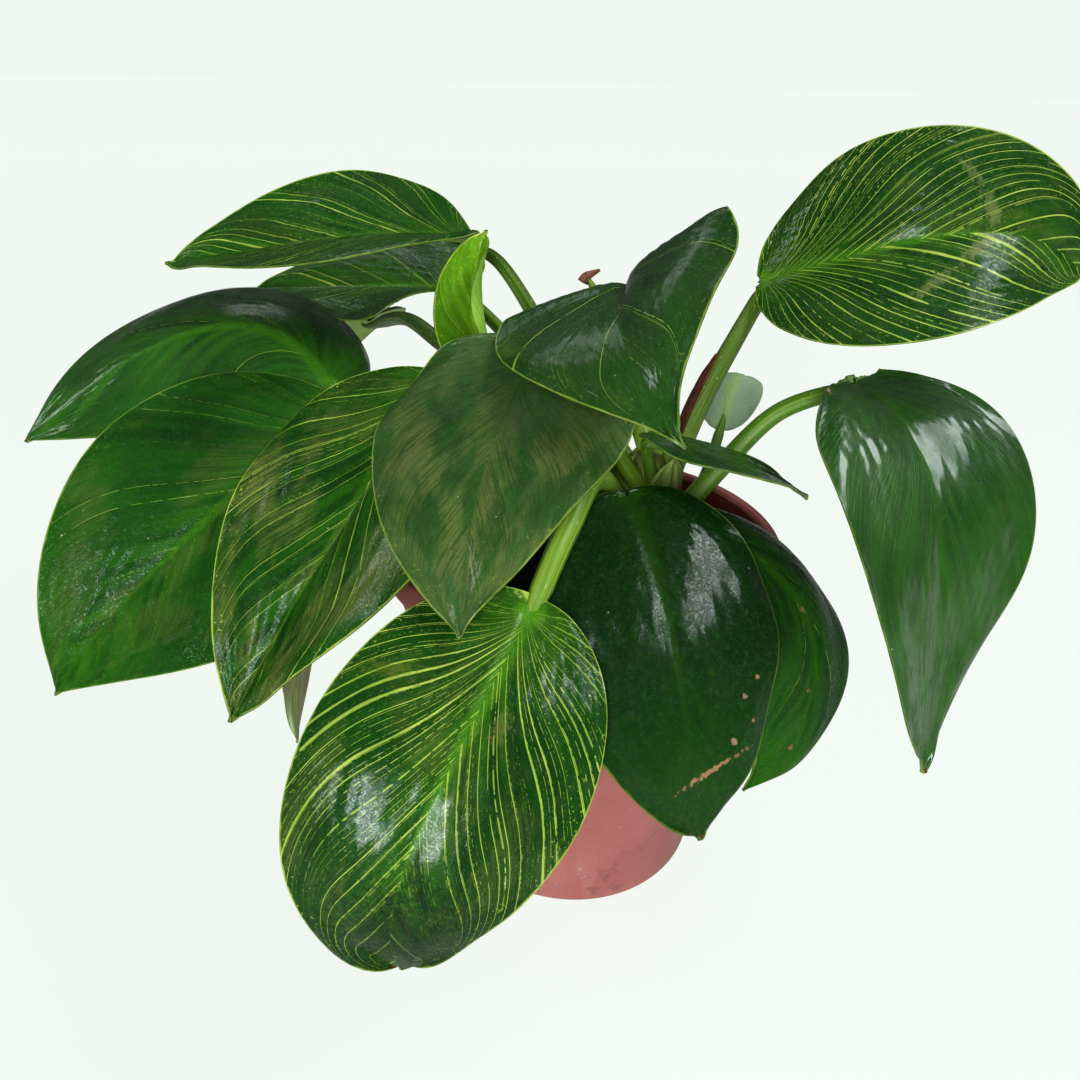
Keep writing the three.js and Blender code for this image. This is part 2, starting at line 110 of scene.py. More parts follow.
LEAVES = [
    dict(
        name="back_left_high", width=66, fullness=1.05, lobe=0.03, veins=22, seed=1,
        midrib=[(-40, 72, 188), (-71, 61, 194), (-106, 60, 185), (-143, 70, 178)],
        face=[(5, 80), (-15, 60)], right=(15, 20, 0, -10), left=(25, 25, -20, 5),
        foot=(105, 126), via=[(-8, 38, 158), (-28, 64, 181)], sweep=0.35,
        look=dict(lines=0.45, dashes=0.45, streaks=0.1, blotches=0.15, glow=0.35),
    ),
    dict(
        name="back_left_low", width=64, fullness=0.9, lobe=0.03, veins=20, seed=2,
        midrib=[(-45, 84, 168), (-62, 102, 166), (-92, 107, 163), (-124, 103, 162)],
        face=[(5, 70), (-45, 60)], right=(10, 10, -20, 0), left=(20, 15, -15, 5),
        foot=(85, 110), via=[(-2, 38, 138), (-33, 70, 162)], sweep=0.35,
        look=dict(lines=0.35, dashes=0.35, streaks=0.15, glow=0.6, tone=0.6, grey=0.1),
    ),
    dict(
        name="back_hanging", width=56, fullness=0.9, lobe=0.04, veins=18, seed=3,
        midrib=[(-82, 104, 152), (-99, 124, 149), (-112, 142, 133), (-120, 153, 108)],
        face=[(180, 90), (-150, 55)], right=(10, 10, -20, 0), left=(10, 10, -20, 0),
        foot=(130, 110), via=[(-10, 32, 138), (-44, 46, 157), (-63, 76, 159)], sweep=0.4,
        look=dict(lines=0.2, dashes=0.3, streaks=0.1, grey=0.1, margin=0.4),
    ),
    dict(
        name="new_centre", width=30, fullness=0.95, lobe=0.03, veins=12, seed=4,
        midrib=[(-32, 30, 156), (-36, 36, 172), (-37, 44, 184), (-32, 52, 194)],
        face=[(5, 5), (5, -5)], right=(40, 60, 90, 0), left=(20, 20, 25, 0),
        foot=(148, 127), via=[(-8, 20, 143), (-26, 27, 150)], sweep=0.5,
        look=dict(lines=0.12, dashes=0.15, streaks=0.15, blotches=0.0, glow=0.8, tone=0.8, grey=0.0,
                  margin=0.9),
    ),
    dict(
        name="left_upper", width=76, fullness=0.88, lobe=0.03, veins=24, seed=5,
        midrib=[(-82, 34, 148), (-103, 56, 174), (-140, 50, 166), (-181, 27, 129)],
        face=[(30, 60), (-25, 40)], right=(-10, -10, -38, 0), left=(-15, 0, -25, 0),
        foot=(160, 119), via=[(-16, 24, 129), (-66, 34, 133)], sweep=0.4,
        look=dict(lines=0.02, dashes=0.06, glow=0.45, tone=0.5, grey=0.15, margin=0.3, gloss=0.5,
                  wrinkles=0.6),
    ),
    dict(
        name="left_lower", width=90, fullness=1.0, lobe=0.03, veins=28, seed=6,
        midrib=[(-76, 19, 145), (-105, -3, 127), (-133, -20, 106), (-157, -31, 72)],
        face=[(-25, 65), (-5, 15)], right=(10, 20, -10, -5), left=(0, 0, -20, 0),
        foot=(190, 112), via=[(-20, 10, 126), (-52, 18, 138)], sweep=0.2,
        look=dict(lines=0.06, dashes=0.12, streaks=0.03, blotches=0.3, tone=0.45, margin=0.4, gloss=0.03),
    ),
    dict(
        name="left_front", width=80, fullness=1.0, lobe=0.03, veins=26, seed=7,
        midrib=[(-46, 9, 160), (-61, -20, 136), (-80, -40, 113), (-97, -51, 80)],
        face=[(-25, 55), (-20, 30)], right=(5, 25, -30, 0), left=(25, 40, -25, -30),
        foot=(188, 127), via=[(-8, 7, 144), (-32, 10, 157)], sweep=0.35,
        look=dict(lines=0.5, dashes=0.4, blotches=0.9, tone=0.5, margin=0.9, weight=0.5, gloss=0.2),
    ),
    dict(
        name="centre", width=72, fullness=1.0, lobe=0.03, veins=24, seed=8,
        midrib=[(-15, 10, 170), (-26, -21, 155), (-33, -50, 144), (-31, -72, 124)],
        face=[(-10, 60), (-10, 35)], right=(5, 10, -35, 5), left=(15, 15, -15, 0),
        foot=(228, 128), via=[(4, 0, 148), (-8, 8, 163)], sweep=0.45,
        look=dict(dashes=0.02, blotches=1.0, glow=0.08, tone=0.45, grey=1.0),
    ),
    dict(
        name="top_curled", width=74, fullness=1.4, lobe=0.06, veins=22, seed=9,
        midrib=[(11, 23, 185), (3, -7, 185), (5, -36, 180), (20, -51, 164)],
        face=[(-135, 45), (-10, 20)], right=(20, 0, -10, 50), left=(20, 5, -30, 10),
        foot=(62, 127), via=[(24, 24, 150), (18, 30, 172)], sweep=0.6,
        rolled=[(1, 0.3, 110), (-1, 0.32, 110)],
        look=dict(lines=0.12, dashes=0.16, glow=0.05, tone=0.15, grey=0.3, margin=0.6, gloss=0.45,
                  wrinkles=0.4),
    ),
    dict(
        name="right_high", width=63, fullness=0.85, lobe=0.01, veins=24, seed=10,
        midrib=[(53, 37, 183), (86, 14, 201), (118, 14, 212), (145, 27, 189)],
        face=[(-10, 50), (5, 20)], right=(10, 15, -10, 0), left=(15, 20, -15, -5),
        foot=(22, 127), via=[(34, 18, 148), (44, 26, 166)], sweep=0.4,
        look=dict(lines=0.85, dashes=0.45, streaks=0.1, blotches=0.2, glow=0.5, tone=0.25, weight=0.95),
    ),
    dict(
        name="right_hanging", width=71, fullness=1.0, lobe=0.0, veins=24, seed=11,
        midrib=[(77, 11, 161), (102, -24, 155), (90, -44, 123), (96, -52, 68)],
        face=[(25, 90), (40, 5)], right=(10, 10, -15, 0), left=(10, 5, -5, -5),
        foot=(0, 110), via=[(40, 8, 131), (57, 11, 150)], sweep=0.7,
        look=dict(blotches=0.05, glow=0.1, grey=0.5, margin=0.25, gloss=0.7, wrinkles=0.2),
    ),
    dict(
        name="front", width=68, fullness=0.7, lobe=0.05, veins=21, seed=12,
        midrib=[(-15, -59, 123), (-33, -99, 104), (-50, -115, 80), (-45, -100, 45)],
        face=[(5, 55), (-5, -5)], right=(5, 5, -20, 0), left=(5, 5, -35, 0),
        foot=(232, 110), via=[(3, -15, 139.5), (-6, -41, 137)], sweep=0.6, drop=-0.2,
        look=dict(lines=0.85, dashes=0.65, streaks=0.12, blotches=0.3, glow=0.6, tone=0.3, grey=0.0,
                  margin=0.8, weight=0.85, gloss=0.42),
    ),
    dict(
        name="front_right", width=65, fullness=0.8, lobe=0.04, veins=22, seed=13,
        midrib=[(11, -21, 137), (19, -54, 127), (24, -75, 105), (29, -79, 69)],
        face=[(5, 50), (20, 10)], right=(5, 5, -20, 0), left=(5, 5, -35, 5),
        foot=(272, 110), via=[(18, -12, 124)], sweep=0.5, drop=1.8,
        look=dict(blotches=0.03, glow=0.1, tone=0.0, grey=0.0, margin=0.25, gloss=0.42, dark=(8, 48, 8)),
    ),
    dict(
        name="right_low", width=47, fullness=0.9, lobe=0.03, veins=18, seed=14,
        midrib=[(30, -23, 129), (68, -30, 118), (76, -45, 86), (46, -53, 61)],
        face=[(50, 55), (30, 15)], right=(10, 5, -15, 0), left=(0, 0, -45, 0),
        foot=(315, 111), via=[], sweep=0.5, drop=1.8,
        look=dict(dashes=0.04, glow=0.25, tone=0.45, grey=0.0, margin=0.35, gloss=0.1),
    ),
    dict(
        name="right_thin", width=34, fullness=0.9, lobe=0.03, veins=12, seed=15,
        midrib=[(18, 0, 147), (35, -12, 146), (51, -15, 144), (63, -12, 133)],
        face=[(155, 75), (130, 75)], right=(5, 5, -15, 0), left=(5, 10, -15, 0),
        foot=(290, 127), via=[], sweep=0.5, drop=1.8,
        look=dict(lines=0.03, dashes=0.05, streaks=0.05, blotches=0.0, glow=0.2, grey=0.4, margin=0.6),
    ),
    dict(
        name="back_small", width=21, fullness=0.3, lobe=0.04, veins=10, seed=16,
        midrib=[(47, 40, 134), (49, 45, 141), (51, 50, 146), (54, 56, 148)],
        face=[(165, -20), (155, -40)], right=(5, 5, -10, 0), left=(5, 5, -10, 0),
        foot=(45, 110), via=[(39, 27, 117)], sweep=0.5,
        look=dict(lines=0.05, dashes=0.05, blotches=0.0, glow=0.2, tone=0.5, grey=0.3, margin=0.3),
    ),
    dict(
        name="left_behind", width=30, fullness=0.9, lobe=0.04, veins=10, seed=17,
        midrib=[(-74, 4, 108), (-86, 0, 101), (-88, -18, 79), (-85, -35, 59)],
        face=[(-115, 20), (-110, 10)], right=(10, 10, -10, 0), left=(10, 10, -10, 0),
        foot=(212, 119), via=[(-22, -4, 128), (-60, 1, 123)], sweep=0.5,
        look=dict(lines=0.05, dashes=0.05, blotches=0.0, glow=0.2, grey=0.3, margin=0.5),
    ),
]


def paint(red, green, blue):
    """A colour given the way a screen shows it, 0 to 255, as the linear colour that a shader takes."""
    shares = [value / 255 for value in (red, green, blue)]
    return tuple(v / 12.92 if v <= 0.04045 else ((v + 0.055) / 1.055) ** 2.4 for v in shares)


# Undersides that differ from the usual one: name of the material, lighter and deeper green. Those of
# back_hanging and left_behind are painted far lighter than their own green, painted light on undersides that
# lie in shade.
OWN_UNDERSIDES = {
    "new_centre": ("young underside", (150, 196, 66), (126, 178, 44)),
    # back_hanging: a lighter green than its own, painted light on an underside in shade.
    "back_hanging": ("hanging underside painted lighter", (176, 212, 112), (146, 186, 84)),
    # left_behind: a very pale green, a painted sheen on an underside that lies in shade.
    "left_behind": ("underside with painted sheen", (222, 246, 190), (196, 228, 160)),
    "back_small": ("pale underside", (160, 180, 150), (136, 158, 128)),
}

# The unfurling leaf is still lime green.
FRESH_GREENS = {
    "Dark": paint(70, 124, 16), "Middle": paint(120, 172, 30), "Bright": paint(156, 196, 50),
    "Stripe": paint(206, 220, 96),
}

# Scars and faded spots on the blades, and one broad painted shade on the front blade: centre in millimetres,
# radius, direction and stretch, colour, strength.
PINK_SCAR = (186, 142, 118)
BROWN_SCAR = (166, 124, 96)
FADED_OLIVE = (134, 142, 84)
SPOTS = {
    "front_right": [
        ((31, -74, 87), 0.9, (10.4, 5.2, 4.1), (178, 136, 100), 0.9),
        ((43, -59, 105), 0.8, (1.6, -2.1, 1.4), PINK_SCAR, 0.8),
        ((39, -63, 102), 0.9, (1.3, -2.3, 1.5), PINK_SCAR, 0.8),
        ((41, -65, 96), 0.8, (1.6, -2.1, 1.4), PINK_SCAR, 0.8),
        ((37, -70, 93), 0.9, (1.2, -2.6, 1.0), PINK_SCAR, 0.8),
    ],
    "right_low": [
        ((60, -33, 109), 1.1, (1.6, -1.7, 1.9), (176, 132, 104), 0.8),
        ((62, -43, 89), 1.1, (1.3, -2.5, 1.1), BROWN_SCAR, 0.8),
        ((59, -49, 73), 1.0, (1.4, -2.7, 0.3), BROWN_SCAR, 0.8),
    ],
    "right_hanging": [((66, -3, 162), 1.6, (0, 0, 3), (206, 160, 140), 0.9)],
    "right_high": [
        ((103.5, 24.5, 217.5), 2.0, (2.0, -1.1, -2.0), FADED_OLIVE, 0.5),
        ((110, 20, 208), 2.4, (1.0, -1.0, -2.4), FADED_OLIVE, 0.55),
        ((106.5, 14.5, 198.5), 2.4, (-2.3, -1.4, -1.9), (140, 146, 88), 0.6),
        ((94, 9, 189.5), 2.4, (-2.9, -0.8, -1.9), FADED_OLIVE, 0.5),
    ],
    "front": [
        # Painted shade: a broad deep green darkening over the lower part of the front blade.
        ((-43, -106, 60), 23.0, (0, 0, 0), (8, 42, 6), 0.6),
        ((-48, -75, 117), 2.6, (-3.2, 0.5, 0), (112, 122, 40), 0.45),
        ((-21, -84, 108), 2.4, (-1, -1.5, -2.6), (122, 128, 62), 0.5),
    ],
}


# ---- sizes and colours that can be changed in the sidebar ----------------------------------


def length_setting(name, description, default):
    return FloatProperty(name=name, description=description, default=default, unit="LENGTH", precision=5)


def angle_setting(name, description, degrees):
    return FloatProperty(name=name, description=description, default=math.radians(degrees), unit="ROTATION")


def colour_setting(name, description, *colour):
    return FloatVectorProperty(
        name=name, description=description, default=paint(*colour), subtype="COLOR", size=3
    )


class BirkinLeafSettings(bpy.types.PropertyGroup):
    rows: IntProperty(name="Rows", description="Faces from leaf base to tip", default=190, min=40)
    columns: IntProperty(name="Columns", description="Faces across a whole blade", default=64, min=16)
    thickness: length_setting("Thickness", "Thickness of a blade", 0.45 * MM)
    vein_relief: length_setting("Vein relief", "Depth of the lateral veins", 0.11 * MM)
    keel: length_setting("Keel", "Height of the midrib under the blade", 1.5 * MM)
    dark: colour_setting("Dark green", "Deep green of an old blade", 15, 60, 10)
    middle: colour_setting("Green", "Green of the blade's lighter parts", 48, 118, 14)
    bright: colour_setting("Bright green", "Green along the midrib", 98, 164, 26)
    stripe: colour_setting("Stripe", "Yellow-green of the variegated veins", 198, 218, 96)
    tan: colour_setting("Tan", "Faded tan of old patches", 124, 132, 66)
    under: colour_setting("Underside", "Dull green of the underside", 130, 164, 94)


class BirkinStalkSettings(bpy.types.PropertyGroup):
    foot_radius: length_setting("Foot radius", "Radius at the stem", 3.5 * MM)
    top_radius: length_setting("Top radius", "Radius under the blade", 2.3 * MM)
    light: colour_setting("Light", "Yellow-green of the stalk's foot", 146, 178, 60)
    deep: colour_setting("Deep", "Green of the stalk's upper part", 74, 122, 24)


class BirkinPotSettings(bpy.types.PropertyGroup):
    sides: IntProperty(name="Sides", description="Faces round the pot", default=160, min=32)
    outside: colour_setting("Outside", "Terracotta pink of the plastic", 197, 122, 116)
    # The inside colour is darker than the outside: partly the damp wall, partly painted shade inside the pot.
    inside: colour_setting("Inside", "Damp inner wall", 128, 60, 48)
    soil: colour_setting("Potting mix", "Dark brown of the damp mix", 44, 30, 24)
    bark: colour_setting("Bark", "Orange-brown of bark and fibre", 132, 84, 52)


class BirkinStageSettings(bpy.types.PropertyGroup):
    camera: FloatVectorProperty(
        name="Camera", description="Where the camera stands", subtype="XYZ", unit="LENGTH", size=3,
        default=(-0.013, -0.2445, 0.2436),
    )
    pitch: angle_setting("Pitch", "How far the camera looks down", 28.4)
    roll: angle_setting("Roll", "How far the camera leans", 1.25)
    lens: FloatProperty(name="Lens", description="Focal length in millimetres", default=30.0)
    floor: colour_setting("Floor", "Pale floor", 240, 246, 240)


SETTINGS = {
    "birkin_leaf": BirkinLeafSettings,
    "birkin_stalk": BirkinStalkSettings,
    "birkin_pot": BirkinPotSettings,
    "birkin_stage": BirkinStageSettings,
}


# ---- mesh helpers ---------------------------------------------------------------------------


def clear_selection():
    if bpy.context.object and bpy.context.object.mode != "OBJECT":
        bpy.ops.object.mode_set(mode="OBJECT")
    bpy.ops.object.select_all(action="DESELECT")


def pick_out(piece):
    """Selects one piece alone and makes it the active one."""
    clear_selection()
    piece.select_set(True)
    bpy.context.view_layer.objects.active = piece


def open_whole():
    """Goes into edit mode with everything selected."""
    bpy.ops.object.mode_set(mode="EDIT")
    bpy.ops.mesh.select_all(action="SELECT")


def close_outward():
    """Turns every face outwards and leaves edit mode."""
    bpy.ops.mesh.select_all(action="SELECT")
    bpy.ops.mesh.normals_make_consistent(inside=False)
    bpy.ops.object.mode_set(mode="OBJECT")


def read_rows(items, key):
    flat = np.empty(len(items) * 3, np.float32)
    items.foreach_get(key, flat)
    return flat.reshape(-1, 3).astype(float)


def corners(piece):
    """The piece's vertices as rows of x, y, z."""
    return read_rows(piece.data.vertices, "co")


def corner_normals(piece):
    return read_rows(piece.data.vertex_normals, "vector")


def move_corners(piece, places):
    piece.data.vertices.foreach_set("co", np.asarray(places, np.float32).ravel())
    piece.data.update()


def keep_attribute(piece, name, values):
    """Writes one number for each vertex, for the piece's material to read."""
    made = piece.data.attributes.new(name, "FLOAT", "POINT")
    made.data.foreach_set("value", np.asarray(values, np.float32))


def patch(name, across, along):
    """A flat grid to be shaped: returns it with each vertex's place across, -1 to 1, and along, 0 to 1."""
    clear_selection()
    bpy.ops.mesh.primitive_grid_add(x_subdivisions=across, y_subdivisions=along, size=1)
    piece = bpy.context.object
    piece.name = name
    flat = corners(piece)
    return piece, 2 * flat[:, 0], flat[:, 1] + 0.5


def apply_modifier(piece, kind, **settings):
    pick_out(piece)
    made = piece.modifiers.new(kind.title(), kind)
    for key, value in settings.items():
        setattr(made, key, value)
    bpy.ops.object.modifier_apply(modifier=made.name)


def merge_doubles(piece, nearer):
    pick_out(piece)
    open_whole()
    bpy.ops.mesh.remove_doubles(threshold=nearer)
    close_outward()


def smooth(piece, degrees=40):
    pick_out(piece)
    bpy.ops.object.shade_smooth_by_angle(angle=math.radians(degrees))


def unit(rows):
    return rows / np.linalg.norm(rows, axis=-1, keepdims=True)


def waves(seed, low, high, *axes):
    """A smooth uneven field of about -1 to 1: sines of seeded frequencies between low and high, added up."""
    rng = np.random.default_rng(seed)
    count = 7
    total = 0
    for _ in range(count):
        turn = rng.uniform(0, 2 * math.pi)
        for axis in axes:
            turn = turn + 2 * math.pi * rng.uniform(low, high) * rng.choice((-1, 1)) * axis
        total = total + rng.uniform(0.6, 1) * np.sin(turn)
    return total / math.sqrt(count)


def settle(piece, slot, *nodes):
    """The finished piece rides on the plant's one body and stands for these solids."""
    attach(piece, "root")
    if nodes:
        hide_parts(*nodes)


# ---- shader helpers ---------------------------------------------------------------------------


class Graph:
    """Short ways of adding nodes to one tree."""

    def __init__(self, tree):
        self.tree = tree

    def feed(self, socket, value):
        if isinstance(value, bpy.types.NodeSocket):
            self.tree.links.new(value, socket)
        elif hasattr(value, "__len__") and len(value) == 3 and len(socket.default_value) == 4:
            socket.default_value = (*value, 1)
        else:
            socket.default_value = value

    def add(self, kind, settings=None, **inputs):
        node = self.tree.nodes.new("ShaderNode" + kind)
        for key, value in (settings or {}).items():
            setattr(node, key, value)
        for key, value in inputs.items():
            self.feed(node.inputs[key.replace("_", " ")], value)
        return node

    def math(self, operation, *values):
        node = self.tree.nodes.new("ShaderNodeMath")
        node.operation = operation
        for socket, value in zip(node.inputs, values):
            self.feed(socket, value)
        return node.outputs[0]

    def times(self, first, *rest):
        for value in rest:
            first = self.math("MULTIPLY", first, value)
        return first

    def plus(self, first, *rest):
        for value in rest:
            first = self.math("ADD", first, value)
        return first

    def vector_math(self, operation, *values):
        """A vector node that ends in a number or a vector, whichever its operation makes."""
        node = self.add("VectorMath", {"operation": operation})
        for socket, value in zip(node.inputs, values):
            self.feed(socket, value)
        return node.outputs["Value" if operation in ("LENGTH", "DOT_PRODUCT") else "Vector"]

    def most(self, first, *rest):
        for value in rest:
            first = self.math("MAXIMUM", first, value)
        return first

    def step(self, value, start, end, low=0.0, high=1.0):
        """Runs smoothly from low to high as value goes from start to end."""
        node = self.tree.nodes.new("ShaderNodeMapRange")
        node.interpolation_type = "SMOOTHSTEP"
        for key, number in (
            ("Value", value), ("From Min", start), ("From Max", end), ("To Min", low), ("To Max", high)
        ):
            self.feed(node.inputs[key], number)
        return node.outputs[0]

    def blend(self, factor, under, over, how="MIX"):
        node = self.tree.nodes.new("ShaderNodeMix")
        node.data_type = "RGBA"
        node.blend_type = how
        node.clamp_factor = True
        self.feed(node.inputs[0], factor)
        self.feed(node.inputs[6], under)
        self.feed(node.inputs[7], over)
        return node.outputs[2]

    def vector(self, x, y=0.0, z=0.0):
        return self.add("CombineXYZ", X=x, Y=y, Z=z).outputs[0]

    def noise(self, place, scale=1.0, detail=2.0, rough=0.5, twist=0.0, flat=False):
        settings = {"noise_dimensions": "2D" if flat else "3D"}
        node = self.add("TexNoise", settings, Vector=place, Scale=scale, Detail=detail, Roughness=rough)
        self.feed(node.inputs["Distortion"], twist)
        return node.outputs[0]

    def grain(self, x, y=0.0, detail=2.0, rough=0.5):
        """Flat noise over two running numbers, such as a vein's number and the way along it."""
        return self.noise(self.vector(x, y), 1.0, detail, rough, flat=True)

    def cells(self, place, scale):
        """Round cells: how far the middle of each one is, and a number of its own."""
        node = self.add("TexVoronoi", {"feature": "F1"}, Vector=place, Scale=scale)
        return node.outputs["Distance"], self.add("SeparateColor", Color=node.outputs["Color"]).outputs[0]

    def chance(self, value):
        return self.add("TexWhiteNoise", {"noise_dimensions": "1D"}, W=value).outputs[0]

    def attribute(self, name):
        return self.add("Attribute", {"attribute_name": name}).outputs["Fac"]

    def object_place(self):
        return self.add("TexCoord").outputs["Object"]

    def patch_place(self):
        """The piece's own UV map, as its two numbers."""
        split = self.add("SeparateXYZ", Vector=self.add("UVMap", {"uv_map": "UVMap"}).outputs[0])
        return split.outputs[0], split.outputs[1]


def start_group(name, inputs, outputs):
    """A shader node group: inputs are (name, default), and a default of three numbers makes a colour."""
    tree = bpy.data.node_groups.new(name, "ShaderNodeTree")
    for label, default in inputs:
        colour = hasattr(default, "__len__")
        kind = "NodeSocketColor" if colour else "NodeSocketFloat"
        socket = tree.interface.new_socket(label, in_out="INPUT", socket_type=kind)
        socket.default_value = (*default, 1) if colour else default
    for label, colour in outputs:
        kind = "NodeSocketColor" if colour else "NodeSocketFloat"
        tree.interface.new_socket(label, in_out="OUTPUT", socket_type=kind)
    given = tree.nodes.new("NodeGroupInput").outputs
    result = tree.nodes.new("NodeGroupOutput").inputs
    return tree, Graph(tree), given, result


def start_material(name):
    material = bpy.data.materials.new(name)
    material.use_nodes = True
    tree = material.node_tree
    return material, Graph(tree), tree.nodes["Principled BSDF"].inputs


def group_node(graph, tree, values):
    node = graph.tree.nodes.new("ShaderNodeGroup")
    node.node_tree = tree
    for key, value in values.items():
        graph.feed(node.inputs[key], value)
    return node.outputs


def finish_surface(graph, shader, colour, rough, height, depth, strength):
    """Ends a material: its colour, its roughness and a bump of the given depth in metres."""
    graph.feed(shader["Base Color"], colour)
    graph.feed(shader["Roughness"], rough)
    relief = graph.add("Bump", Height=height, Distance=depth, Strength=strength)
    graph.feed(shader["Normal"], relief.outputs[0])


# ---- finishes ---------------------------------------------------------------------------------


def leaf_pattern(sizes):
    """The upper side of a blade: veins drawn in yellow-green, dashes between them, mottling and wrinkles."""
    tree, graph, given, result = start_group(
        "Birkin blade pattern",
        [
            ("Seed", 0.0), ("Lines", 0.5), ("Dashes", 0.5), ("Streaks", 0.3), ("Blotches", 0.3),
            ("Glow", 0.5), ("Tone", 0.4), ("Grey", 0.2), ("Margin", 0.8), ("Weight", 1.0), ("Wrinkles", 1.0),
            ("Dark", tuple(sizes.dark)), ("Middle", tuple(sizes.middle)), ("Bright", tuple(sizes.bright)),
            ("Stripe", tuple(sizes.stripe)), ("Tan", tuple(sizes.tan)),
        ],
        [("Colour", True), ("Roughness", False), ("Height", False), ("Gloss", False)],
    )
    place = graph.object_place()
    across, along = graph.patch_place()
    half = graph.math("SUBTRACT", graph.times(across, 2.0), 1.0)
    out = graph.math("ABSOLUTE", half)
    side = graph.math("GREATER_THAN", half, 0.0)
    seed = graph.plus(graph.times(given["Seed"], 7.31), graph.times(side, 31.7))
    vein = graph.attribute("vein")
    rib = graph.attribute("rib")
    edge = graph.attribute("edge")
    reach = graph.attribute("reach")
    share = graph.attribute("share")

    def vein_grain(pace, spread, detail=2.0, rough=0.5):
        """Noise drawn out along the veins, other on each side of the midrib."""
        return graph.grain(graph.plus(graph.times(vein, pace), seed), graph.times(out, spread), detail, rough)

    # The green itself: cloudy, banded along the veins, brighter at the midrib and where the veins fan out.
    cloud = graph.noise(place, 30.0, 3.0, 0.6)
    band = graph.grain(graph.plus(graph.times(vein, 0.75), seed), out)
    mottle = graph.noise(place, 700.0, 2.0, 0.6)
    green = graph.plus(
        graph.times(graph.step(cloud, 0.3, 0.7), 0.5), graph.times(graph.step(band, 0.25, 0.75), 0.5)
    )
    paler_tip = graph.times(graph.step(share, 0.35, 0.95), graph.step(given["Lines"], 0.0, 0.8, 0.22, 0.0))
    green = graph.plus(graph.times(green, given["Tone"], 1.3), paler_tip)
    colour = graph.blend(green, given["Dark"], given["Middle"])
    colour = graph.blend(graph.step(mottle, 0.52, 0.72, 0.0, 0.22), colour, given["Middle"])
    rib_width = graph.step(share, 0.85, 0.0, 0.6, 4.2)
    rib_noise = graph.grain(graph.times(vein, 3.0), graph.times(rib, 0.1))
    near_rib = graph.times(
        graph.step(rib, rib_width, graph.times(rib_width, 0.2)), graph.step(share, 0.9, 0.45, 0.25, 1.0),
        graph.step(rib_noise, 0.3, 0.6, 0.5, 1.0),
    )
    around_rib = graph.times(graph.step(rib, 13.0, 2.0), graph.step(band, 0.35, 0.65), 0.35)
    fan = graph.most(graph.times(graph.step(reach, 22.0, 3.0), 0.4), graph.step(reach, 6.5, 2.0, 0.0, 1.3))
    glow = graph.most(near_rib, fan, around_rib)
    colour = graph.blend(graph.times(glow, given["Glow"]), colour, given["Bright"])

    # Faded patches, made of fine streaks that follow the veins.
    patch_mask = graph.grain(graph.plus(graph.times(along, 5.5), seed), graph.times(out, 2.2), 3.0, 0.6)
    fibre = vein_grain(4.2, 3.5, 3.0, 0.65)
    blotch = graph.times(
        graph.step(patch_mask, graph.step(given["Blotches"], 0.0, 1.0, 0.5, 0.4), 0.64),
        graph.step(fibre, 0.34, 0.6, 0.15, 1.0), given["Blotches"], graph.step(share, 0.1, 0.45, 0.35, 1.0),
    )
    colour = graph.blend(graph.times(blotch, 0.85), colour, given["Tan"])

    # Broad streaks, whole lines and broken dashes, each keyed to its own vein.
    lean = graph.times(
        given["Weight"], graph.step(rib, 14.0, 0.0, 1.0, 1.3), graph.step(share, 0.0, 0.2, 0.75, 1.0)
    )
    wide = graph.times(
        graph.step(vein_grain(1.25, 1.4), 0.66, 0.72), given["Streaks"], graph.step(rib, 20.0, 3.0, 0.25, 0.8)
    )

    def drawn(per_vein, width, amount, pace, gaps, shift):
        """Lines along the veins, per_vein to each: some left out, broken where the noise is under gaps."""
        run = graph.plus(graph.times(vein, per_vein), graph.times(seed, shift))
        cell = graph.math("FLOOR", run)
        middle = graph.math("ABSOLUTE", graph.math("SUBTRACT", graph.math("FRACT", run), 0.5))
        luck = graph.chance(graph.plus(cell, graph.times(seed, 3.1)))
        weight = graph.chance(graph.plus(cell, graph.times(seed, 1.3), 40.0))
        breaks = graph.grain(graph.times(cell, 5.37), graph.times(reach, pace), 1.0)
        fat = graph.step(weight, 0.6, 1.0, 0.6, 2.2)
        broad = graph.times(lean, width, fat, graph.step(breaks, 0.3, 0.7, 0.75, 1.2))
        line = graph.step(middle, broad, graph.times(broad, 0.4))
        there = graph.step(luck, amount, graph.times(amount, 0.95))
        return graph.times(line, there, graph.step(breaks, gaps, graph.plus(gaps, 0.06)))

    whole = drawn(1.0, 0.10, given["Lines"], 0.12, 0.26, 1.0)
    fewer = graph.step(share, 0.85, 0.5)
    second = graph.times(drawn(2.0, 0.10, graph.times(given["Dashes"], 0.85), 0.5, 0.40, 1.7), 0.85, fewer)
    dash = graph.times(drawn(4.0, 0.14, given["Dashes"], 1.1, 0.55, 2.3), 0.5, fewer)
    strokes = graph.most(whole, second, dash, wide)
    greener = graph.blend(0.45, given["Stripe"], given["Bright"])
    stripe = graph.blend(graph.step(graph.noise(place, 60.0, 1.0), 0.35, 0.6), greener, given["Stripe"])
    colour = graph.blend(graph.times(strokes, 0.9), colour, stripe)

    # The pale edge, the specks near it and a little dust.
    rag = graph.noise(place, 260.0, 2.0)
    rim = graph.step(graph.plus(edge, graph.times(rag, 0.8)), 0.95, 0.6)
    dots = graph.noise(place, 900.0, 1.0)
    specks = graph.times(graph.step(dots, 0.66, 0.72), graph.step(edge, 9.0, 1.5), given["Margin"])
    pale = graph.times(graph.most(rim, graph.times(specks, 0.7)), graph.step(reach, 3.0, 9.0))
    colour = graph.blend(graph.times(pale, given["Margin"]), colour, stripe)
    away, few = graph.cells(place, 210.0)
    dust = graph.times(graph.step(away, 0.07, 0.03), graph.step(few, 0.88, 0.9))
    colour = graph.blend(graph.times(dust, 0.75), colour, paint(206, 214, 190))
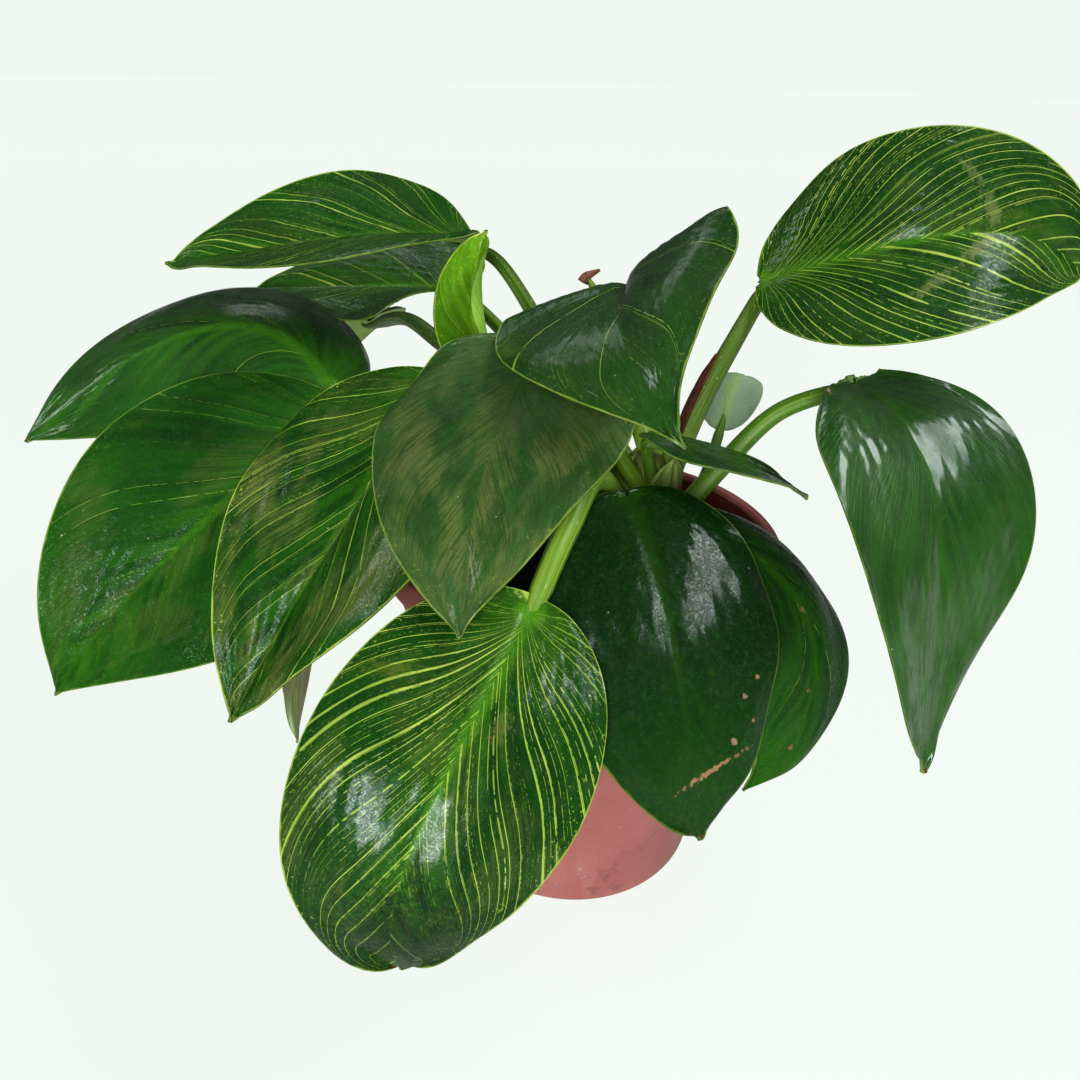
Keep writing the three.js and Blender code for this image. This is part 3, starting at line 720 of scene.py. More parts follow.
    # A grey film over parts of the blade: partly a dull bloom, partly a painted sheen standing in for
    # reflected light.
    film_and_sheen = graph.times(
        given["Grey"], graph.step(cloud, 0.3, 0.7, 0.2, 0.6), graph.step(fibre, 0.3, 0.65, 0.6, 1.2)
    )
    colour = graph.blend(film_and_sheen, colour, paint(88, 108, 70))
    colour = graph.blend(graph.step(share, 0.984, 0.994), colour, paint(116, 84, 48))
    graph.feed(result["Colour"], colour)

    # A waxy leather: fine folds along the veins and a pebbled skin.
    fine = vein_grain(3.4, 6.0, 2.0, 0.6)
    pebble = graph.noise(place, 420.0, 2.0, 0.55, 0.8)
    swell = graph.noise(place, 110.0, 2.0, 0.5)
    worm = graph.noise(place, 330.0, 4.0, 0.7, 2.4)
    crease = graph.step(graph.math("ABSOLUTE", graph.math("SUBTRACT", worm, 0.5)), 0.085, 0.0)
    crease = graph.times(crease, given["Wrinkles"])
    fine = graph.times(fine, graph.step(given["Wrinkles"], 0.0, 1.0, 0.6, 0.14))
    graph.feed(result["Height"], graph.plus(
        fine, graph.times(pebble, 0.4), swell, graph.times(crease, -0.2), graph.times(strokes, -0.05)
    ))
    graph.feed(result["Roughness"], graph.plus(
        graph.times(graph.step(cloud, 0.3, 0.7), 0.08), graph.times(given["Grey"], 0.08),
        graph.times(blotch, 0.12), graph.times(dust, 0.3), graph.times(crease, 0.15), 0.16,
    ))
    worn = graph.times(graph.step(swell, 0.35, 0.6, 0.45, 1.15), graph.step(crease, 0.0, 0.9, 1.0, 0.4))
    graph.feed(result["Gloss"], worn)
    return tree


def leaf_material(leaf, pattern, spots):
    look = {**USUAL_LOOK, **leaf["look"]}
    material, graph, shader = start_material(f"blade {leaf['name']}")
    greens = FRESH_GREENS if leaf["name"] == "new_centre" else {}
    if "dark" in look:
        greens = {"Dark": paint(*look.pop("dark"))}
    gloss = look.pop("gloss")
    shares = {key.title(): value for key, value in look.items()}
    made = group_node(graph, pattern, {"Seed": float(leaf["seed"]), **shares, **greens})
    colour = made["Colour"]
    for centre, radius, stretch, tint, strength in spots:
        mask = graph.times(spot_mask(graph, centre, radius, stretch), strength)
        colour = graph.blend(mask, colour, paint(*tint))
    shader["IOR"].default_value = 1.45
    shader["Specular IOR Level"].default_value = 0.2
    graph.feed(shader["Coat Weight"], graph.times(made["Gloss"], gloss * 1.25))
    shader["Coat Roughness"].default_value = 0.15
    finish_surface(graph, shader, colour, made["Roughness"], made["Height"], 0.9 * MM, 0.6)
    return material


def spot_mask(graph, centre, radius, stretch):
    """A ragged spot on a blade: centre in millimetres, radius along and across stretch, in millimetres."""
    place = graph.object_place()
    offset = graph.vector_math("SUBTRACT", place, tuple(value * MM for value in centre))
    along = Vector(stretch)
    spread = graph.vector_math("LENGTH", offset)
    if along.length > 0:
        run = graph.vector_math("DOT_PRODUCT", offset, along.normalized())
        square = graph.math("POWER", spread, 2.0)
        run_square = graph.math("POWER", run, 2.0)
        share = 1 - 1 / along.length**2
        spread = graph.math("SQRT", graph.math("SUBTRACT", square, graph.times(run_square, share)))
    rag = graph.noise(place, 700.0, 3.0, 0.7)
    ragged = graph.plus(spread, graph.times(graph.math("SUBTRACT", rag, 0.5), radius * MM * 3.0))
    return graph.step(ragged, radius * MM, radius * MM * 0.4)


def underside_material(name, light, shade):
    material, graph, shader = start_material(name)
    place = graph.object_place()
    vein = graph.attribute("vein")
    rib = graph.attribute("rib")
    cloud = graph.noise(place, 45.0, 3.0, 0.6)
    line = graph.grain(graph.times(vein, 2.1))
    colour = graph.blend(graph.step(cloud, 0.3, 0.7), light, shade)
    colour = graph.blend(graph.step(line, 0.5, 0.7, 0.0, 0.3), colour, paint(150, 172, 112))
    colour = graph.blend(graph.step(rib, 3.0, 0.8, 0.0, 0.6), colour, paint(158, 184, 104))
    rough = graph.step(cloud, 0.3, 0.7, 0.42, 0.55)
    height = graph.plus(line, graph.times(graph.noise(place, 500.0, 2.0), 0.4))
    finish_surface(graph, shader, colour, rough, height, 0.5 * MM, 0.5)
    return material


def edge_material():
    material, graph, shader = start_material("blade edge")
    ragged = graph.noise(graph.object_place(), 180.0, 3.0, 0.6)
    colour = graph.blend(graph.step(ragged, 0.35, 0.6), paint(126, 152, 56), paint(78, 108, 36))
    colour = graph.blend(graph.step(ragged, 0.68, 0.74), colour, paint(120, 84, 50))
    graph.feed(shader["Base Color"], colour)
    graph.feed(shader["Roughness"], graph.step(ragged, 0.3, 0.7, 0.35, 0.5))
    return material


def stalk_pattern(sizes):
    tree, graph, given, result = start_group(
        "Stalk pattern",
        [("Seed", 0.0), ("Light", tuple(sizes.light)), ("Deep", tuple(sizes.deep)), ("Paleness", 0.5)],
        [("Colour", True), ("Roughness", False), ("Height", False)],
    )
    place = graph.object_place()
    around, along = graph.patch_place()
    shifted = graph.plus(around, graph.times(given["Seed"], 0.37))
    broad = graph.grain(graph.times(shifted, 9.0), graph.times(along, 1.1))
    thin = graph.grain(graph.times(shifted, 42.0), graph.times(along, 2.5))
    foot = graph.times(graph.step(along, 0.55, 0.02), 0.8)
    light = graph.most(foot, graph.times(given["Paleness"], graph.step(broad, 0.35, 0.65)))
    colour = graph.blend(light, given["Deep"], given["Light"])
    colour = graph.blend(graph.step(thin, 0.52, 0.68, 0.0, 0.3), colour, paint(160, 184, 84))
    colour = graph.blend(graph.step(thin, 0.42, 0.3, 0.0, 0.3), colour, paint(50, 88, 18))
    speck = graph.noise(place, 900.0, 1.0)
    colour = graph.blend(graph.step(speck, 0.68, 0.74, 0.0, 0.6), colour, paint(190, 200, 130))
    graph.feed(result["Colour"], colour)
    graph.feed(result["Roughness"], graph.step(broad, 0.3, 0.7, 0.38, 0.5))
    graph.feed(result["Height"], graph.plus(thin, graph.times(graph.noise(place, 350.0, 2.0), 0.5)))
    return tree


def stalk_material(name, pattern, seed, paleness, **colours):
    material, graph, shader = start_material(name)
    values = {"Seed": float(seed), "Paleness": paleness}
    values.update({key.title(): value for key, value in colours.items()})
    made = group_node(graph, pattern, values)
    shader["Coat Weight"].default_value = 0.08
    shader["Coat Roughness"].default_value = 0.3
    finish_surface(graph, shader, made["Colour"], made["Roughness"], made["Height"], 0.4 * MM, 0.5)
    return material


def dry_material(name, dark, light):
    """Dried, papery scale: lengthwise fibres and blotches."""
    material, graph, shader = start_material(name)
    place = graph.object_place()
    around, along = graph.patch_place()
    fibre = graph.grain(graph.times(around, 34.0), graph.times(along, 2.0), 3.0)
    cloud = graph.noise(place, 160.0, 3.0, 0.6)
    colour = graph.blend(graph.step(cloud, 0.35, 0.65), dark, light)
    colour = graph.blend(graph.step(fibre, 0.5, 0.7, 0.0, 0.6), colour, paint(60, 36, 22))
    rough = graph.step(cloud, 0.3, 0.7, 0.5, 0.75)
    finish_surface(graph, shader, colour, rough, graph.plus(fibre, graph.times(cloud, 0.6)), 0.5 * MM, 0.7)
    return material


def plastic_material(name, colour, shade, dust):
    """Thin moulded plastic, a little scuffed, with dried splashes low on the wall."""
    material, graph, shader = start_material(name)
    place = graph.object_place()
    cloud = graph.noise(place, 22.0, 4.0, 0.6)
    drag = graph.add("Mapping", Vector=place, Scale=(90, 90, 9))
    streak = graph.noise(drag.outputs[0], 1.0, 3.0, 0.6)
    grain = graph.noise(place, 1500.0, 2.0, 0.6)
    height = graph.add("SeparateXYZ", Vector=place).outputs[2]
    low = graph.step(height, 0.05, 0.004)
    tone = graph.blend(graph.step(cloud, 0.3, 0.7, 0.0, 0.6), colour, shade)
    tone = graph.blend(graph.step(streak, 0.5, 0.75, 0.0, 0.16), tone, paint(220, 176, 164))
    splash = graph.times(graph.step(graph.noise(place, 130.0, 4.0, 0.7), 0.56, 0.66), low, dust)
    tone = graph.blend(splash, tone, paint(128, 84, 72))
    scuff = graph.times(graph.step(graph.noise(place, 260.0, 2.0, 0.5), 0.7, 0.76), 0.35)
    tone = graph.blend(scuff, tone, paint(226, 190, 180))
    rough = graph.plus(graph.step(streak, 0.3, 0.7, 0.36, 0.46), graph.times(splash, 0.2))
    height = graph.plus(graph.times(grain, 0.3), graph.times(streak, 0.6), cloud)
    finish_surface(graph, shader, tone, rough, height, 0.4 * MM, 0.3)
    return material


def soil_material(sizes):
    material, graph, shader = start_material("potting mix")
    place = graph.object_place()
    crumb = graph.noise(place, 420.0, 4.0, 0.7)
    away, pick = graph.cells(place, 330.0)
    colour = graph.blend(graph.step(crumb, 0.3, 0.7), paint(22, 15, 12), tuple(sizes.soil))
    colour = graph.blend(graph.step(pick, 0.86, 0.9, 0.0, 0.75), colour, tuple(sizes.bark))
    colour = graph.blend(graph.step(pick, 0.06, 0.03, 0.0, 0.7), colour, paint(92, 70, 52))
    rough = graph.step(crumb, 0.3, 0.7, 0.7, 0.95)
    height = graph.plus(crumb, graph.times(away, 0.6))
    finish_surface(graph, shader, colour, rough, height, 1.2 * MM, 0.8)
    return material


def bark_material(sizes):
    material, graph, shader = start_material("bark")
    place = graph.object_place()
    drag = graph.add("Mapping", Vector=place, Scale=(900, 260, 900))
    fibre = graph.noise(drag.outputs[0], 1.0, 4.0, 0.65, 0.4)
    cloud = graph.noise(place, 300.0, 3.0, 0.6)
    colour = graph.blend(graph.step(fibre, 0.35, 0.65), paint(64, 36, 22), tuple(sizes.bark))
    colour = graph.blend(graph.step(cloud, 0.5, 0.7, 0.0, 0.6), colour, paint(50, 32, 24))
    rough = graph.step(cloud, 0.3, 0.7, 0.7, 0.9)
    finish_surface(graph, shader, colour, rough, graph.plus(fibre, cloud), 0.6 * MM, 0.8)
    return material


# ---- blades -------------------------------------------------------------------------------------


def facing(azimuth, elevation):
    turn, rise = math.radians(azimuth), math.radians(elevation)
    return np.array((math.sin(turn) * math.cos(rise), -math.cos(turn) * math.cos(rise), math.sin(rise)))


class Rail:
    """A blade's midrib, measured along its length."""

    def __init__(self, leaf):
        self.points = np.array(leaf["midrib"], float) * MM
        self.faces = [facing(*face) for face in leaf["face"]]
        self.shares = np.linspace(0, 1, 401)
        steps = np.linalg.norm(np.diff(self.curve(self.shares), axis=0), axis=1)
        self.run = np.concatenate(([0], np.cumsum(steps)))
        self.length = self.run[-1]

    def curve(self, u):
        a, b, c, d = self.points
        u = np.asarray(u)[..., None]
        return (1 - u) ** 3 * a + 3 * (1 - u) ** 2 * u * b + 3 * (1 - u) * u**2 * c + u**3 * d

    def slope(self, u):
        a, b, c, d = self.points
        u = np.asarray(u)[..., None]
        return unit(3 * (1 - u) ** 2 * (b - a) + 6 * (1 - u) * u * (c - b) + 3 * u**2 * (d - c))

    def at(self, distance):
        """Point, direction, upward and sideways directions at distances from the joint."""
        share = np.clip(distance / self.length, 0, 1)
        u = np.interp(share * self.length, self.run, self.shares)
        along = self.slope(u)
        point = self.curve(u) + along * np.minimum(distance, 0)[..., None]
        face = self.faces[0] * (1 - share)[..., None] + self.faces[1] * share[..., None]
        up = unit(face - along * (face * along).sum(-1, keepdims=True))
        return point, along, up, np.cross(along, up)


def blade_shape(leaf, rail, half, s):
    """Places of a blade's middle surface, with how far along and how far across the midrib each one is.

    half is -1 to 1 across the blade, s is 0 to 1 from the base's row to the tip's.
    """
    t = np.abs(half)
    a = (1 - np.cos(FIRST_SECTION + (math.pi - FIRST_SECTION) * s)) / 2
    a_first = (1 - math.cos(FIRST_SECTION)) / 2
    fullness = leaf["fullness"]
    total = BASE_FULLNESS + fullness
    peak = (BASE_FULLNESS / total) ** BASE_FULLNESS * (fullness / total) ** fullness
    outline = a**BASE_FULLNESS * np.clip(1 - a, 0, 1) ** fullness / peak
    drip = 1 - 0.4 * np.exp(-(1 - a) / 0.03)
    root = 1 - 0.6 * np.exp(-s / 0.015)
    margin = np.maximum(leaf["width"] * MM / 2 * outline * drip * root, 0.12 * MM)
    margin_along = rail.length * (a * (1 + leaf["lobe"]) - leaf["lobe"])
    vein_start = rail.length * np.clip((a - a_first) / (1 - a_first), 0, 1) ** VEIN_SWEEP
    bend = t + VEIN_CURVE * np.sin(2 * math.pi * t) / (2 * math.pi)
    x = vein_start + (margin_along - vein_start) * bend
    y = margin * t
    point, _, up, side = rail.at(x)
    share = np.clip(x / rail.length, 0, 1)
    fade = np.exp(-np.maximum(x / rail.length + 0.08, 0) / LIFT_REACH)
    right = half > 0
    fold_base, fold_tip, curl, lift = [
        np.where(right, a_side, b_side) for a_side, b_side in zip(leaf["right"], leaf["left"])
    ]
    fold = np.radians(fold_base + (fold_tip - fold_base) * share + lift * fade)
    rate = np.radians(np.where(curl == 0, 0.1, curl)) / (leaf["width"] * MM / 2)
    end = fold + rate * y
    over = (np.sin(end) - np.sin(fold)) / rate
    rise = (np.cos(fold) - np.cos(end)) / rate
    rise = rise * (1 - np.exp(-((y / (1.4 * MM)) ** 2)))
    sign = np.where(right, 1, -1)
    places = point + side * (sign * over)[:, None] + up * rise[:, None]
    return places, x, y


def vein_number(leaf, x, t, length):
    """Which lateral vein runs through a place. Veins leave the midrib at a slant and arch towards the tip."""
    number = np.linspace(-0.2, 1, 300)
    starts = np.clip(number, 0, 1) ** np.interp(leaf["sweep"], (0, 1), VEIN_CROWDING)
    lobe = leaf["lobe"]
    ends = (1 + lobe) * (1 - (1 - number) ** np.interp(leaf["sweep"], (0, 1), VEIN_REACH)) - lobe
    arch = t + (0.02 + 0.06 * leaf["sweep"]) * np.sin(2 * math.pi * t)
    found = np.empty(len(x))
    for level in np.unique(np.round(arch, 5)):
        here = np.abs(arch - level) < 0.00001
        found[here] = np.interp(x[here] / length, starts + (ends - starts) * level, number)
    return (found + FAN * (1 - np.exp(-found / FAN_REACH))) * leaf["veins"]


def margin_places(places, half, s):
    """For each place, the place at the end of its own row: the blade's margin on the same side."""
    row = np.unique(np.round(s, 6), return_inverse=True)[1]
    ends = np.zeros((row.max() + 1, 2, 3))
    for column, sign in enumerate((-1, 1)):
        at_margin = np.abs(half - sign) < 0.000001
        ends[row[at_margin], column] = places[at_margin]
    return ends[row, (half > 0).astype(int)]


def roll_lobe(rail, places, half, s, side, first, degrees):
    """Turns back the base of one lobe (side 1 right, -1 left) about a line from the joint to the margin."""
    joint = rail.points[0]
    nearest = np.argmin(np.abs(s - first) + np.abs(half - side))
    axis = unit(places[nearest] - joint)
    share = np.clip((first - s) / first, 0, 1) * (half * side > 0)
    turn = np.radians(degrees) * side * share**2 * (3 - 2 * share) * np.clip(half * side * 4, 0, 1)
    arm = places - joint
    along = (arm @ axis)[:, None] * axis
    across = arm - along
    turned_arm = along + across * np.cos(turn)[:, None] + np.cross(axis, across) * np.sin(turn)[:, None]
    return joint + turned_arm


def build_blade(leaf, sizes, materials):
    rail = Rail(leaf)
    detail = min(1, max(0.35, leaf["width"] / FINE_WIDTH))
    columns, rows = 2 * round(sizes.columns * detail / 2), round(sizes.rows * detail)
    piece, half, s = patch(f"leaf_{leaf['name']}", columns, rows)
    places, x, y = blade_shape(leaf, rail, half, s)
    for roll in leaf.get("rolled", ()):
        places = roll_lobe(rail, places, half, s, *roll)
    move_corners(piece, places)
    t = np.abs(half)
    seed = leaf["seed"]
    size = leaf["width"] / RELIEF_WIDTH

    # The veins are numbered from the base and wander a little; the blade sinks along each and swells between.
    vein = vein_number(leaf, x, t, rail.length) + 0.25 * t * waves(seed, 0.4, 1.2, s, 0.4 * half)
    between = vein - np.floor(vein)
    groove = np.exp(-(((between - 0.5) / 0.13) ** 2))
    share = np.clip(x / rail.length, 0, 1)
    envelope = np.clip(t / 0.12, 0, 1) * np.clip((1 - t) / 0.1, 0, 1) * np.clip((1 - share) / 0.25, 0, 1)
    strength = 0.7 + 0.5 * waves(seed + 100, 1.0, 4.0, s, half)
    relief = -sizes.vein_relief * groove * envelope * strength
    relief += 0.5 * sizes.vein_relief * np.cos(2 * math.pi * between) * -envelope
    # The edge waves, and the whole blade is never quite even.
    relief += 0.9 * MM * size * t**3 * waves(seed + 200, 1.5, 4.5, s, 0.4 * half)
    relief += 0.7 * MM * size * waves(seed + 300, 0.6, 2.0, s, 0.7 * half) * t
    relief += 0.10 * MM * waves(seed + 400, 4.0, 11.0, s, half) * envelope
    # The midrib runs in a shallow channel above and stands out as a keel below.
    channel = np.exp(-((y / (1.6 * MM * size)) ** 2)) * (1 - share)
    relief -= 0.3 * MM * size * channel
    normals = corner_normals(piece)
    top = corners(piece) + normals * (relief + sizes.thickness / 2)[:, None]
    move_corners(piece, top)
    normals = corner_normals(piece)

    for material in materials:
        piece.data.materials.append(material)
    count = len(top)
    apply_modifier(
        piece, "SOLIDIFY", thickness=sizes.thickness, offset=-1, material_offset=1, material_offset_rim=2
    )
    keel = np.exp(-((y / (1.3 * MM * size)) ** 2)) * (1 - share) ** 0.7
    places = corners(piece)
    places[count : 2 * count] -= normals * (sizes.keel * size * keel)[:, None]
    move_corners(piece, places)
    reach = np.linalg.norm(top - rail.points[0], axis=1)
    rib = np.hypot(y, np.minimum(x, 0))
    edge = np.linalg.norm(top - margin_places(top, half, s), axis=1)
    for name, values in (
        ("vein", vein), ("rib", rib / MM), ("edge", edge / MM), ("reach", reach / MM), ("share", share)
    ):
        keep_attribute(piece, name, np.tile(values, 2))
    smooth(piece, 50)
    settle(piece, "new_leaf" if leaf["name"] == "new_centre" else "leaf", f"blade_{leaf['name']}")


# ---- stalks, stem and scales ----------------------------------------------------------------------

# How many places a tube's curve and the dried scale's curve are read at.
LINE_STEPS = 240
SCALE_STEPS = 200
# The share of a tube's length that its rounded end takes up.
ROUND_END = 0.02


def rows_at(wanted, known, rows):
    """The rows of x, y, z at the numbers wanted, read between those at the numbers known."""
    return np.stack([np.interp(wanted, known, rows[:, k]) for k in range(3)], axis=1)


def ring_places(centre, ahead, aside, radius, angle):
    """Places round a centre line: ahead and aside are the directions of angle 0 and of a right angle."""
    return centre + ahead * (radius * np.cos(angle))[:, None] + aside * (radius * np.sin(angle))[:, None]


def through(points, steps):
    """Evenly spaced places on a Catmull-Rom curve through the points."""
    knots = [2 * points[0] - points[1], *points, 2 * points[-1] - points[-2]]
    places = []
    for a, b, c, d in zip(knots, knots[1:], knots[2:], knots[3:]):
        u = np.linspace(0, 1, 40, endpoint=False)[:, None]
        start, end = (c - a) / 2, (d - b) / 2
        places.append(
            b + start * u + (3 * (c - b) - 2 * start - end) * u**2 + (2 * (b - c) + start + end) * u**3
        )
    places = np.vstack((*places, points[-1][None]))
    run = np.concatenate(([0], np.cumsum(np.linalg.norm(np.diff(places, axis=0), axis=1))))
    return rows_at(np.linspace(0, run[-1], steps), run, places)


def round_end(away):
    """How full a tube is at a share of its length away from an end: a quarter circle, then 1."""
    return np.sqrt(np.clip(1 - (1 - np.clip(away / ROUND_END, 0, 1)) ** 2, 0, 1))


def tube(name, points, radius, around=28, along=70, section=None):
    """A closed tube along a curve. radius(share) is its size; section(turn, share) alters its roundness."""
    piece, across, run = patch(name, around, along)
    line = through(points, LINE_STEPS)
    tangents = unit(np.gradient(line, axis=0))
    normal = unit(np.cross(tangents[0], (0.31, 0.2, 0.93)))
    frames = []
    for tangent in tangents:
        normal = unit(normal - tangent * (normal @ tangent))
        frames.append(normal)
    frames = np.array(frames)
    eased = 0.5 - 0.5 * np.cos(math.pi * run)
    spaced = 0.6 * run + 0.4 * eased
    pick, known = spaced * (LINE_STEPS - 1), np.arange(LINE_STEPS)
    centre = rows_at(pick, known, line)
    ahead = unit(rows_at(pick, known, frames))
    aside = np.cross(unit(rows_at(pick, known, tangents)), ahead)
    turn = math.pi * (across + 1)
    size = radius(spaced)
    size = size * (round_end(spaced) * round_end(1 - spaced))
    if section is not None:
        size = size * section(turn, spaced)
    move_corners(piece, ring_places(centre, ahead, aside, size, turn))
    merge_doubles(piece, 0.004 * MM)
    smooth(piece, 70)
    return piece


def stalk_points(leaf, sizes):
    azimuth, height = leaf["foot"]
    scale = 0.7 if leaf["width"] < 45 else 1
    out = np.array((math.cos(math.radians(azimuth)), math.sin(math.radians(azimuth)), 0))
    centre = np.array((*STEM_PLACE, height), float)
    foot = centre + out * (STEM_RADIUS - 2.5)
    rail = Rail(leaf)
    drop = leaf.get("drop", 1.1)
    place, _, up, _ = rail.at(np.array((0, 6)) * MM * scale)
    joint = place[0] / MM - up[0] * (drop + sizes.top_radius / MM * scale)
    under = place[1] / MM - up[1] * (drop + 1.3)
    points = [foot, *[np.array(via, float) for via in leaf["via"]], joint, under]
    return np.array(points) * MM, scale


STALK_LOOKS = {
    "front": dict(girth=1.22, paleness=1.0, deep=paint(104, 142, 40)),
    "right_hanging": dict(girth=1.15, paleness=0.5, deep=paint(92, 140, 28)),
    "right_high": dict(girth=1.05, paleness=0.2, deep=paint(76, 104, 26)),
    "back_left_high": dict(girth=0.95, paleness=0.3, deep=paint(62, 98, 26)),
    "back_left_low": dict(girth=0.95, paleness=0.6, deep=paint(96, 132, 50)),
    "back_hanging": dict(girth=1.05, paleness=0.1, deep=paint(48, 80, 26)),
    "new_centre": dict(girth=1.0, paleness=0.9, deep=paint(126, 166, 46)),
}
USUAL_STALK = dict(girth=1.0, paleness=0.4, deep=paint(74, 112, 30))


def build_stalk(leaf, sizes, pattern):
    points, scale = stalk_points(leaf, sizes)
    look = STALK_LOOKS.get(leaf["name"], USUAL_STALK)

    def radius(share):
        body = sizes.top_radius + (sizes.foot_radius - sizes.top_radius) * (1 - share) ** 1.6
        end = np.clip((1 - share) / 0.14, 0, 1)
        return scale * look["girth"] * body * (0.25 + 0.75 * end)

    def section(turn, share):
        groove = 0.16 * np.exp(-(((turn - math.pi / 2) / 0.42) ** 2))
        wings = 0.10 * np.exp(-(((turn - 0.35) / 0.3) ** 2)) + 0.10 * np.exp(-(((turn - 2.79) / 0.3) ** 2))
        flat = 0.12 * np.cos(2 * turn) * np.clip(1 - share * 2.2, 0, 1)
        return 1 - groove + wings + flat

    piece = tube(f"petiole_{leaf['name']}", points, radius, section=section)
    name, seed = f"stalk {leaf['name']}", leaf["seed"]
    piece.data.materials.append(stalk_material(name, pattern, seed, look["paleness"], deep=look["deep"]))
    settle(piece, "leaf_stalk", f"stalk_{leaf['name']}")


def build_stem(pattern):
    x, y = STEM_PLACE
    lean = [(x, y, SOIL_TOP - 12), (x, y, 112), (x - 0.3, y + 0.3, 125), (x - 0.6, y + 0.8, STEM_TOP - 1)]

    def radius(share):
        rings = 0.35 * MM * np.abs(np.sin(share * 15)) ** 6
        top = np.clip((1 - share) / 0.2, 0, 1) ** 0.6
        return (STEM_RADIUS - 0.6) * MM * (0.45 + 0.55 * top) + rings

    piece = tube("stem_stub", np.array(lean) * MM, radius, around=48, along=90)
    piece.data.materials.append(
        stalk_material("stem", pattern, 40, 0.5, light=paint(146, 158, 82), deep=paint(92, 104, 48))
    )
    settle(piece, "stem", "stem")


# Sheaths round the stem: (turn in degrees, foot height, length, spread in degrees, stand-off, dry or green).
SHEATHS = [
    (250, 109, 22, 150, 1.0, "green"), (330, 111, 20, 140, 1.6, "dry"), (20, 110, 26, 150, 1.3, "green"),
    (180, 110, 21, 130, 1.5, "dry"), (110, 112, 25, 150, 1.2, "green"), (300, 116, 25, 110, 2.2, "green"),
]


def build_sheath(number, sheath, materials):
    """A thin scale that wraps part of the stem and tapers to a point."""
    turn, foot, length, spread, off, kind = sheath
    piece, across, up = patch(f"stem_sheath_{number}", 24, 30)
    width = np.sqrt(np.clip(1 - up**2.2, 0, 1))
    angle = np.radians(turn + spread / 2 * across * width)
    flare = off + 1.4 * up**2 + 0.25 * waves(number, 1, 3, up, across)
    radius = (STEM_RADIUS + flare) * MM
    x, y = (value * MM for value in STEM_PLACE)
    z = (foot + length * up - 1.5 * across**2) * MM
    move_corners(piece, np.stack((x + radius * np.cos(angle), y + radius * np.sin(angle), z), axis=1))
    apply_modifier(piece, "SOLIDIFY", thickness=0.5 * MM, offset=0)
    smooth(piece, 50)
    piece.data.materials.append(materials[kind])
    settle(piece, "dried_scale" if kind == "dry" else "leaf_stalk")


def build_dried_scale(leaf, sizes, material):
    """A dried bud scale that still clasps the stalk."""
    points, _ = stalk_points(leaf, sizes)
    line = through(points, SCALE_STEPS)
    start, end = 0.22, 0.56
    piece, across, up = patch("old_bud_scale", 20, 40)
    pick, known = (start + (end - start) * up) * (SCALE_STEPS - 1), np.arange(SCALE_STEPS)
    centre = rows_at(pick, known, line)
    tangent = unit(rows_at(pick, known, unit(np.gradient(line, axis=0))))
    outward = np.array((-0.9, -0.35, 0.25))
    outward = unit(outward - tangent * (tangent @ outward)[:, None])
    sideways = np.cross(tangent, outward)
    taper = np.sqrt(np.clip(1 - up**1.8, 0, 1))
    angle = math.radians(42) * across * taper
    radius = (3.0 + 0.7 * np.sin(math.pi * up) + 0.15 * waves(5, 1, 3, up, across)) * MM
    move_corners(piece, ring_places(centre, outward, sideways, radius, angle))
    apply_modifier(piece, "SOLIDIFY", thickness=0.4 * MM, offset=0)
    smooth(piece, 50)
    piece.data.materials.append(material)
    settle(piece, "dried_scale", "dried_scale")


def build_spear(pattern, dry):
    line = [(19, 8, 139), (10, 24, 162), (3, 32, 178), (0, 36, 183.5)]

    def radius(share):
        return MM * (3.2 - 2.0 * share**1.4) * (1 - 0.55 * np.clip((share - 0.92) / 0.08, 0, 1))

    piece = tube("new_leaf_spear", np.array(line) * MM, radius, around=24, along=60)
    piece.data.materials.append(stalk_material("spear", pattern, 50, 0.7, deep=paint(98, 138, 44)))
    settle(piece, "new_leaf", "leaf_spear")
    bent = [(-1.6, 36, 182), (-0.6, 36, 183.8), (1.4, 36, 184.9), (3.6, 35.8, 186)]
    hook = tube(
        "spear_dry_tip", np.array(bent) * MM, lambda share: MM * (1.9 - 1.5 * share), around=14, along=20
    )
    hook.data.materials.append(dry)
    settle(hook, "dried_scale")


# ---- pot, potting mix and bark -----------------------------------------------------------------------


def turned(name, profile, sides):
    """A ring is filled at the profile's first step, then extruded, lifted and resized through the rest."""
    clear_selection()
    radius, z = profile[0]
    bpy.ops.mesh.primitive_circle_add(
        vertices=sides, radius=radius * MM, fill_type="NGON", location=(0, 0, z * MM)
    )
    piece = bpy.context.object
    piece.name = name
    bpy.ops.object.transform_apply(location=True, rotation=True, scale=True)
    open_whole()
    for next_radius, next_z in profile[1:]:
        bpy.ops.mesh.extrude_edges_move(TRANSFORM_OT_translate={"value": (0, 0, (next_z - z) * MM)})
        grow = next_radius / radius
        bpy.ops.transform.resize(value=(grow, grow, 1), center_override=(0, 0, next_z * MM))
        radius, z = next_radius, next_z
    bpy.ops.mesh.edge_face_add()
    close_outward()
    return piece


def wall_radius(z):
    return BASE_RADIUS + (WALL_TOP_RADIUS - BASE_RADIUS) * z / POT_TOP


